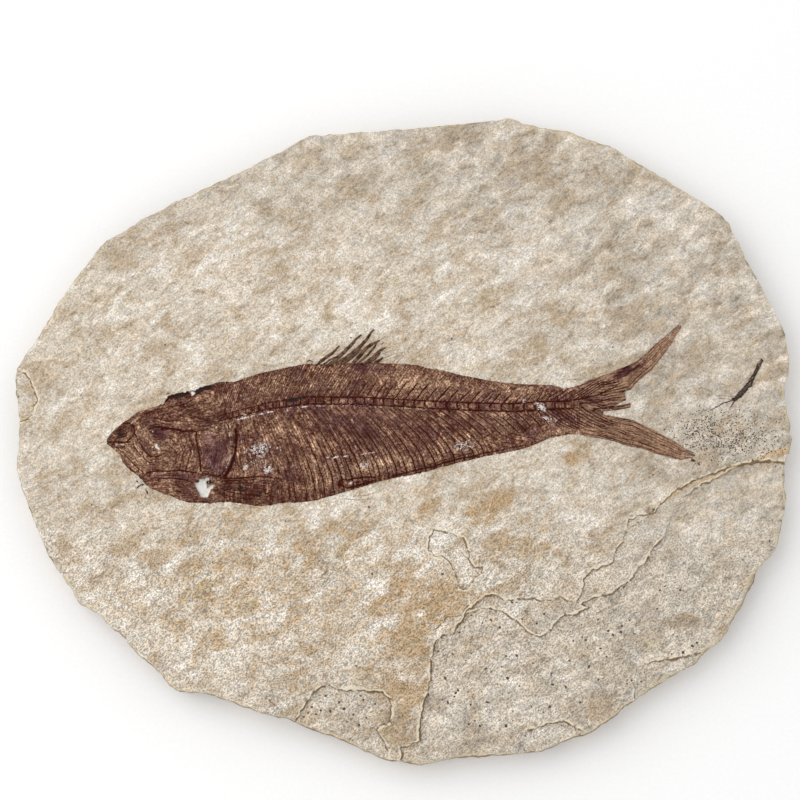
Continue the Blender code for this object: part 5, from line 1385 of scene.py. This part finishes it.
class Finish:
    """One material, and the nodes added to it."""

    def __init__(self, name, roughness, specular=0.3):
        self.material = bpy.data.materials.new(name)
        self.material.use_nodes = True
        self.tree = self.material.node_tree
        self.shader = self.tree.nodes["Principled BSDF"]
        self.shader.inputs["Roughness"].default_value = roughness
        self.shader.inputs["Specular IOR Level"].default_value = specular
        coordinates = self.tree.nodes.new("ShaderNodeTexCoord").outputs["Object"]
        self.place = self.vector("SCALE", coordinates, Scale=1 / MM)

    def feed(self, socket, value):
        """Links a field, a paint or an output to a socket, or sets the socket's value."""
        value = getattr(value, "socket", value)
        if isinstance(value, bpy.types.NodeSocket):
            self.tree.links.new(value, socket)
        elif socket.type == "RGBA":
            socket.default_value = (*value[:3], 1.0)
        else:
            socket.default_value = value

    def add(self, kind, output, inputs, **settings):
        """Adds a node and returns one of its outputs."""
        made = self.tree.nodes.new(kind)
        for name, value in settings.items():
            setattr(made, name, value)
        for socket, value in inputs.items():
            self.feed(made.inputs[socket], value)
        return made.outputs[output]

    def vector(self, operation, first, second=(0.0, 0.0, 0.0), output="Vector", **inputs):
        sockets = {0: first, 1: second, **inputs}
        return self.add("ShaderNodeVectorMath", output, sockets, operation=operation)

    def mark(self, name):
        return Field(self, self.add("ShaderNodeAttribute", "Fac", {}, attribute_name=name))

    def noise(self, size, detail=3.0, roughness=0.55, vector=None, distortion=0.0):
        """Noise with swells of a size in millimetres."""
        inputs = {"Vector": vector or self.place, "Scale": 1 / size, "Detail": detail, "Roughness": roughness,
                  "Distortion": distortion}
        return Field(self, self.add("ShaderNodeTexNoise", "Fac", inputs))

    def stretched(self, degrees, stretch):
        """Coordinates drawn out along a direction."""
        inputs = {"Vector": self.place, "Rotation": (0, 0, math.radians(degrees)), "Scale": (stretch, 1, 1)}
        return self.add("ShaderNodeMapping", "Vector", inputs, vector_type="TEXTURE")

    def mix(self, share, first, second, blend):
        made = self.tree.nodes.new("ShaderNodeMix")
        made.data_type, made.blend_type = "RGBA", blend
        sockets = {socket.identifier: socket for socket in made.inputs}
        for name, value in (("Factor_Float", share), ("A_Color", first), ("B_Color", second)):
            self.feed(sockets[name], value)
        return next(socket for socket in made.outputs if socket.identifier == "Result_Color")

    def dress(self, paint, rough, *relief):
        """Joins up colour, roughness (a field, its low and high) and relief (fields and millimetres)."""
        field, low, high = rough
        self.feed(self.shader.inputs["Base Color"], paint)
        roughness = field.node(MAP, {"Value": field, "To Min": low, "To Max": high})
        self.feed(self.shader.inputs["Roughness"], roughness)
        below = {}
        for layer, height in relief:
            inputs = {"Height": layer, "Distance": height * MM, **below}
            below = {"Normal": self.add("ShaderNodeBump", "Normal", inputs)}
        self.feed(self.shader.inputs["Normal"], below["Normal"])
        return self.material


# Colours of the stone's finer features; the first is a painted shade that darkens the stone away from its
# brightly lit middle
FALLOFF_SHADE, FELT_RIDGE, SPECK = (0.3, 0.26, 0.21), (0.74, 0.68, 0.58), (0.2, 0.15, 0.1)
PALE_BED, BROWN_BED, DARK_BED = (0.54, 0.44, 0.31), (0.32, 0.23, 0.145), (0.25, 0.175, 0.105)
# the rim colour of a break is a painted highlight; its foot colour is brown staining darkened by painted
# shadow
WORN_EDGE, RIM_HIGHLIGHT, FOOT_STAIN_AND_SHADOW = (0.66, 0.57, 0.38), (0.78, 0.69, 0.52), (0.17, 0.105, 0.055)
HONEY, DARK_HONEY = (0.66, 0.5, 0.29), (0.5, 0.34, 0.19)
# Painted light falloff: the stone is painted darker, and dappled more, away from a brightly lit middle left
# of the slab's centre; the shift to that middle, its squeeze and its reach
LIT_MIDDLE_SHIFT, LIT_MIDDLE_SQUEEZE, LIT_MIDDLE_REACH = (30.0, 5.0, 0.0), (1.0, 1.3, 0.0), (58.0, 108.0)


def limestone_finish(settings):
    """Cream limestone, mottled and stained, with a felt of fine streaks and layered broken edges."""
    stone = Finish("limestone", 0.9, 0.15)
    slanted = stone.stretched(28, 1.6)
    clouds = stone.noise(13.0, 3.0, 0.6, slanted, 0.6)
    mottle = stone.noise(5.0, 5.0, 0.66, slanted, 0.7)
    dapple = stone.noise(3.4, 4.0, 0.6, slanted, 0.5)
    wisps = stone.noise(2.6, 4.0, 0.68, stone.stretched(34, 1.9), 0.9)
    felt = stone.noise(1.3, 4.0, 0.7, stone.stretched(38, 2.2), 0.3)
    cross = stone.noise(1.0, 3.0, 0.7, stone.stretched(-24, 1.8), 0.3)
    grit = stone.noise(0.34, 1.0, 0.6, stone.stretched(42, 1.4), 0.2)
    speckle = stone.noise(0.8, 2.0, 0.55)
    bands = stone.noise(3.2, 5.0, 0.6, stone.vector("MULTIPLY", stone.place, (0.18, 0.18, 3.4)))

    face = Paint(stone, settings.cream).coat(clouds.between(0.38, 0.62), settings.grey)
    blotches = mottle * 0.75 + clouds * 0.35
    face.coat(blotches.between(0.535, 0.65) * 0.8, settings.tan)
    face.coat(blotches.between(0.53, 0.43) * 0.85, settings.chalk)
    ragged = (mottle + felt) * 1.7 - 1.7
    for name, colour, share in (("rust", settings.rust, 0.9), ("olive", settings.olive, 0.8),
                                ("umber", settings.umber, 0.8), ("pale", settings.chalk, 0.9)):
        stain = stone.mark(name)
        cover = (stain + ragged).between(0.1, 1.0) * stain.between(0.02, 0.3)
        face.coat((cover * share).held(), colour)
    face.coat((stone.mark("layer") * 0.3).held(), settings.grey)
    face.coat(wisps.between(0.54, 0.68) * 0.5, settings.chalk)
    face.coat(wisps.between(0.46, 0.34) * 0.4, settings.tan)
    face.shade(felt, 0.8, 1.18).shade(cross, 0.86, 1.12)

    sharp = Paint(stone, face).shade(grit, 0.55, 1.42, 0.1)
    height = Field(stone, stone.add("ShaderNodeSeparateXYZ", "Y", {"Vector": stone.place}))
    face.shade(grit, 0.68, 1.3, 0.15).coat(height.between(-10.0, -40.0), sharp)
    apart = stone.vector("MULTIPLY", stone.vector("ADD", stone.place, LIT_MIDDLE_SHIFT), LIT_MIDDLE_SQUEEZE)
    outer = Field(stone, stone.vector("LENGTH", apart, output="Value")).between(*LIT_MIDDLE_REACH)
    # painted shade: the stone darkens away from the lit middle, towards the right end and the top and bottom
    # edges; the dapple below grows there too
    face.coat(outer * 0.24, FALLOFF_SHADE)
    face.coat(outer, Paint(stone, face).shade(dapple, 0.7, 1.28))
    face.coat(abs(felt - 0.5).between(0.07, 0.0) * 0.25, FELT_RIDGE)
    face.coat(speckle.between(0.66, 0.78) * 0.5, SPECK)

    wall = Paint(stone, PALE_BED).coat(bands.between(0.4, 0.58), BROWN_BED)
    wall.coat(clouds.between(0.5, 0.6), DARK_BED).shade(grit, 0.7, 1.25)
    edge = stone.mark("broken") + (mottle - 0.5) * 1.1
    face.coat(edge.between(0.2, 0.4) * 0.6, WORN_EDGE).coat(edge.between(0.34, 0.6), wall)
    lip = Paint(stone, HONEY).coat(felt.between(0.4, 0.6), DARK_HONEY).shade(grit, 0.75, 1.25)
    face.coat((stone.mark("lip").between(0.25, 0.7) * speckle.spread(0.5, 1.0)).held(), lip)
    # painted highlight along the rim of each break
    face.coat(stone.mark("rim").between(0.25, 0.7) * 0.85, RIM_HIGHLIGHT)
    # the foot of each break and each crack: brown staining darkened by painted shadow
    foot = stone.mark("foot") * felt.spread(0.7, 1.3)
    face.coat(foot.between(0.3, 0.75) * 0.85, FOOT_STAIN_AND_SHADOW)
    relief = (mottle, 0.4), (wisps, 0.3), (felt, 0.3), (cross, 0.15), (grit, 0.12)
    return stone.dress(face, (grit, 0.8, 0.98), *relief)


# Soot in the fish's darkest places, and the white stone where its bone is lost
SOOT = (0.02, 0.015, 0.014)
BARE_GREY, BARE_WHITE, BARE_SOOT = (0.55, 0.53, 0.5), (0.76, 0.74, 0.7), (0.05, 0.045, 0.045)


def fossil_finish(settings):
    """Brown bone and skin: dark ribs, spines and rays, a jointed backbone, seams and glassy patches."""
    bone = Finish("fossil_bone", 0.5, 0.04)
    tinge = bone.noise(5.2, 3.0, 0.6, distortion=0.8)
    blotch = bone.noise(2.8, 4.0, 0.66, distortion=1.0)
    gate = bone.noise(1.5, 2.0, 0.6)
    skin = bone.noise(0.9, 4.0, 0.72, distortion=1.0)
    grit = bone.noise(0.5, 2.0, 0.7)
    along = bone.mark("length") * 0.14
    run = bone.add("ShaderNodeCombineXYZ", "Vector", {"X": bone.mark("fibre"), "Y": along})
    fibre = bone.noise(0.4, 3.0, 0.65, run, 0.3)
    number = bone.mark("number") + (skin - 0.5) * 0.2
    half_on = number + 0.5
    ribs, hatch, rays = bone.mark("ribs"), bone.mark("hatch"), bone.mark("rays")
    violet, shadow, pale = bone.mark("violet"), bone.mark("shade"), bone.mark("pale")

    paint = Paint(bone, settings.brown).coat(blotch.between(0.42, 0.64), settings.tan)
    paint.coat(tinge.between(0.49, 0.36) * 0.62, settings.violet)
    paint.coat(tinge.between(0.5, 0.64) * 0.48, settings.straw)
    paint.coat((bone.mark("tan") * skin.between(0.25, 0.55) * 0.9).held(), settings.straw)
    paint.coat((violet * 0.85).held(), settings.violet)
    paint.shade(fibre, 0.36, 1.72, 0.14).shade(skin, 0.55, 1.5, 0.15).shade(blotch, 0.56, 1.52, 0.15)
    # painted highlight: a straw band along one side of each rib; the straw streaks of the tail's rays are the
    # bone's own colour
    rib_highlight = ((number - 0.14).lines(0.15, 0.05) * ribs * gate.spread(0.0, 0.9)).held()
    ray_glow = (rays * fibre.spread(0.4, 1.15) - violet).held()
    paint.coat(rib_highlight.most(ray_glow), settings.straw)
    smooth = Paint(bone, paint)
    paint.shade(grit, 0.34, 1.74, 0.12).coat((rays * 0.6).most(violet * 0.6), smooth)
    paint.coat((shadow * skin.spread(0.5, 1.15)).held(), settings.dark)

    main = (number.lines(0.1, 0.042) * (ribs * 1.5) * gate.spread(0.55, 1.45)).held()
    lesser = (half_on.lines(0.07, 0.03) * (ribs * hatch) * gate.spread(1.5, 0.0)).held()
    fine = ((half_on * 3.0).lines(0.27, 0.12) * hatch * blotch.spread(0.3, 1.1)).held()
    split = half_on.lines(0.2, 0.08) * rays.between(0.76, 0.92)
    ray = ((number.lines(0.23, 0.09) * rays).most(split) * fibre.spread(1.4, 0.25)).held()
    joint = number.lines(0.12, 0.05)
    inner = abs(bone.mark("off")) - 1.0 + (joint - 0.5) * 0.35 + (skin - 0.5) * 0.7
    within = inner.between(0.15, -0.15) * (joint * 0.8 + gate.spread(0.05, 0.5))
    column = abs(inner).between(0.42, 0.12).most(within) * bone.mark("column")
    column = (column * gate.spread(0.75, 1.4)).held()
    drawn = (bone.mark("lines") * skin.spread(0.6, 1.35)).between(0.16, 0.66)
    dark = abs(blotch - 0.5).between(0.018, 0.004) * 0.6
    for layer in (column, main, lesser, fine, ray, drawn):
        dark = dark.most(layer)
    dark = (dark * grit.spread(1.1, 0.9)).held()
    paint.coat(dark, settings.dark).coat(1.0, settings.ember, "ADD")

    soot = (shadow.between(0.58, 0.8) * grit.spread(1.5, 0.4)).held()
    paint.coat(soot * 0.95, SOOT)
    fleck = (skin + pale * 0.3).between(0.62, 0.72)
    paint.coat(fleck * pale.between(0.04, 0.35), settings.calcite)
    bare = Paint(bone, BARE_GREY).coat(skin.between(0.3, 0.5), BARE_WHITE).coat(soot, BARE_SOOT)
    paint.coat(bone.mark("lost"), bare)
    relief = (blotch, 0.12), (fibre, 0.12), (skin, 0.15), (dark, 0.05), (grit, 0.08)
    return bone.dress(paint, (skin, 0.4, 0.7), *relief)


RAY_BROWN, RAY_DARK = (0.16, 0.09, 0.055), (0.05, 0.022, 0.012)
PALE_HAIR, DARK_HAIR = (0.36, 0.27, 0.17), (0.24, 0.16, 0.1)
WORN_CARBON, FLAKED_CARBON = (0.085, 0.06, 0.045), (0.19, 0.14, 0.1)
WORN_GRAIN = (0.1, 0.07, 0.05)
CALCITE_GLOW = 1.2


def ray_finish():
    """Brown bone of the back fin and the loose scraps, dark in places."""
    ray = Finish("fin_ray", 0.6, 0.05)
    blotch = ray.noise(1.3, 3.0, 0.6)
    grit = ray.noise(0.3, 2.0, 0.7)
    paint = Paint(ray, RAY_BROWN).coat(blotch.between(0.42, 0.6), RAY_DARK).shade(grit, 0.5, 1.6)
    return ray.dress(paint, (grit, 0.5, 0.75), (blotch, 0.1), (grit, 0.05))


def grain_finish(name, colour, second, roughness):
    """A small mineral grain, mottled from one colour to another."""
    grain = Finish(name, roughness, 0.4)
    mottle = grain.noise(0.35, 3.0, 0.6)
    fine = grain.noise(0.1, 2.0, 0.6)
    paint = Paint(grain, colour).coat(mottle.between(0.35, 0.65), second)
    return grain.dress(paint, (fine, roughness - 0.15, roughness + 0.15), (mottle, 0.05), (fine, 0.02))


def carbon_finish(settings):
    """Coaly plant tissue, cracked across and split along its length."""
    carbon = Finish("carbonised_plant", 0.55, 0.12)
    along = carbon.noise(0.4, 4.0, 0.6, carbon.stretched(54, 5.0))
    flakes = carbon.noise(0.9, 3.0, 0.6, distortion=0.5)
    paint = Paint(carbon, settings.carbon).coat(along.between(0.4, 0.62), WORN_CARBON)
    paint.coat(flakes.between(0.56, 0.68), FLAKED_CARBON)
    return carbon.dress(paint, (along, 0.4, 0.75), (along, 0.12), (flakes, 0.08))


# Surroundings

FLOOR_SIZE = 6.0
FLOOR_SHADE = 0.97
KEY_PLACE = (-0.72, 0.3, 0.82)
KEY_SIZE = 1.3
LOOK_AT = (-0.43 * MM, 8.5 * MM, 9.0 * MM)
LENS, SENSOR = 85.0, 36.0


def place_in_scene(name, data):
    thing = bpy.data.objects.new(name, data)
    bpy.context.scene.collection.objects.link(thing)
    return thing


def make_floor(settings):
    bm = bmesh.new()
    bmesh.ops.create_grid(bm, x_segments=8, y_segments=8, size=FLOOR_SIZE / 2)
    mesh = bpy.data.meshes.new("floor")
    bm.to_mesh(mesh)
    bm.free()
    card = Finish("floor_card", 0.9, 0.1)
    fibre = card.noise(0.9, 3.0, 0.6)
    paint = Paint(card, settings.floor)
    paint.coat(fibre.between(0.2, 0.8), tuple(FLOOR_SHADE * part for part in settings.floor))
    mesh.materials.append(card.dress(paint, (fibre, 0.85, 0.95), (fibre, 0.02)))
    floor = place_in_scene("floor", mesh)


def make_light(settings):
    """A square soft light that faces the slab."""
    data = bpy.data.lights.new("key", "AREA")
    data.shape = "SQUARE"
    data.size = KEY_SIZE
    data.energy = settings.key
    light = place_in_scene("key", data)
    light.location = KEY_PLACE
    light.rotation_euler = (-Vector(KEY_PLACE)).to_track_quat("-Z", "Y").to_euler()


def make_sky(settings):
    world = bpy.data.worlds.new("studio")
    world.use_nodes = True
    background = world.node_tree.nodes["Background"]
    background.inputs["Color"].default_value = (1.0, 1.0, 1.0, 1.0)
    background.inputs["Strength"].default_value = settings.sky
    bpy.context.scene.world = world


def make_camera(settings):
    data = bpy.data.cameras.new("camera")
    data.lens, data.sensor_width = LENS, SENSOR
    data.clip_start, data.clip_end = 0.01, 20.0
    camera = place_in_scene("camera", data)
    tilt = settings.camera_tilt
    backwards = Vector((0, -math.sin(tilt), math.cos(tilt)))
    camera.location = Vector(LOOK_AT) + settings.camera_distance * backwards
    camera.rotation_euler = (tilt, 0, 0)
    bpy.context.scene.camera = camera


# The add-on

def settings_of(context):
    return context.scene.fossil_slab, context.scene.fossil_fish, context.scene.fossil_stage


def swell_of(context):
    return context.scene.fossil_slab.swell / MM


class FossilPiece:
    """What every builder of a piece shares."""

    bl_options = {"REGISTER"}

    def execute(self, context):
        if frame is None:
            raise RuntimeError("The packed model isn't loaded")
        self.build(context)
        return {"FINISHED"}


class FOSSIL_OT_stone(FossilPiece, bpy.types.Operator):
    """Builds the slab of limestone"""

    bl_idname = "fossil.stone"
    bl_label = "Limestone slab"

    def build(self, context):
        slab = context.scene.fossil_slab
        make_stone(slab, limestone_finish(slab))


class FOSSIL_OT_fish(FossilPiece, bpy.types.Operator):
    """Builds the fish's body, head and tail"""

    bl_idname = "fossil.fish"
    bl_label = "Fish"

    def build(self, context):
        fish = context.scene.fossil_fish
        make_fish(fish, swell_of(context), fossil_finish(fish))


class FOSSIL_OT_fin(FossilPiece, bpy.types.Operator):
    """Builds the rays of the back fin, the hairs beside the fins and the loose scraps of bone"""

    bl_idname = "fossil.fin"
    bl_label = "Back fin, hairs and scraps"

    def build(self, context):
        swell = swell_of(context)
        ray = ray_finish()
        make_back_fin(swell, ray)
        make_scraps(swell, ray)
        make_hairs(swell, grain_finish("fin_hair", PALE_HAIR, DARK_HAIR, 0.7))


class FOSSIL_OT_twig(FossilPiece, bpy.types.Operator):
    """Builds the scrap of carbonised plant"""

    bl_idname = "fossil.twig"
    bl_label = "Plant scrap"

    def build(self, context):
        make_twig(swell_of(context), carbon_finish(context.scene.fossil_fish))


class FOSSIL_OT_grains(FossilPiece, bpy.types.Operator):
    """Scatters dark mineral grains over the stone and crumbs of calcite over the fish"""

    bl_idname = "fossil.grains"
    bl_label = "Grains and calcite"

    def build(self, context):
        slab, fish, _ = settings_of(context)
        make_grains(slab, grain_finish("dark_mineral", slab.grain, WORN_GRAIN, 0.6))
        bright = tuple(CALCITE_GLOW * part for part in fish.calcite)
        make_calcite(swell_of(context), grain_finish("calcite", fish.calcite, bright, 0.45))


class FOSSIL_OT_stage(FossilPiece, bpy.types.Operator):
    """Lays the floor and sets the lights and the camera"""

    bl_idname = "fossil.stage"
    bl_label = "Floor, light and camera"

    def build(self, context):
        for make in (make_floor, make_sky, make_light, make_camera):
            make(context.scene.fossil_stage)


BUILDERS = (FOSSIL_OT_stone, FOSSIL_OT_fish, FOSSIL_OT_fin, FOSSIL_OT_twig, FOSSIL_OT_grains, FOSSIL_OT_stage)


class FOSSIL_PT_panel(bpy.types.Panel):
    """Lists the builders of the slab's pieces"""

    bl_idname = "FOSSIL_PT_panel"
    bl_label = "Fossil fish slab"
    bl_space_type = "VIEW_3D"
    bl_region_type = "UI"
    bl_category = "Fossil"

    def draw(self, context):
        for settings in settings_of(context):
            box = self.layout.box()
            for name in settings.__annotations__:
                box.prop(settings, name)
        for builder in BUILDERS:
            self.layout.operator(builder.bl_idname)


CLASSES = (SlabSettings, FishSettings, StageSettings) + BUILDERS + (FOSSIL_PT_panel,)


def register():
    for item in CLASSES:
        bpy.utils.register_class(item)
    bpy.types.Scene.fossil_slab = PointerProperty(type=SlabSettings)
    bpy.types.Scene.fossil_fish = PointerProperty(type=FishSettings)
    bpy.types.Scene.fossil_stage = PointerProperty(type=StageSettings)


def unregister():
    del bpy.types.Scene.fossil_slab, bpy.types.Scene.fossil_fish, bpy.types.Scene.fossil_stage
    for item in reversed(CLASSES):
        bpy.utils.unregister_class(item)


def main():
    register()
    bpy.context.scene.view_settings.view_transform = "Standard"
    bpy.ops.fossil.stone()
    bpy.ops.fossil.fish()
    bpy.ops.fossil.fin()
    bpy.ops.fossil.twig()
    bpy.ops.fossil.grains()
    bpy.ops.fossil.stage()
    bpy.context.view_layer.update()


if __name__ == "__main__":
    main()
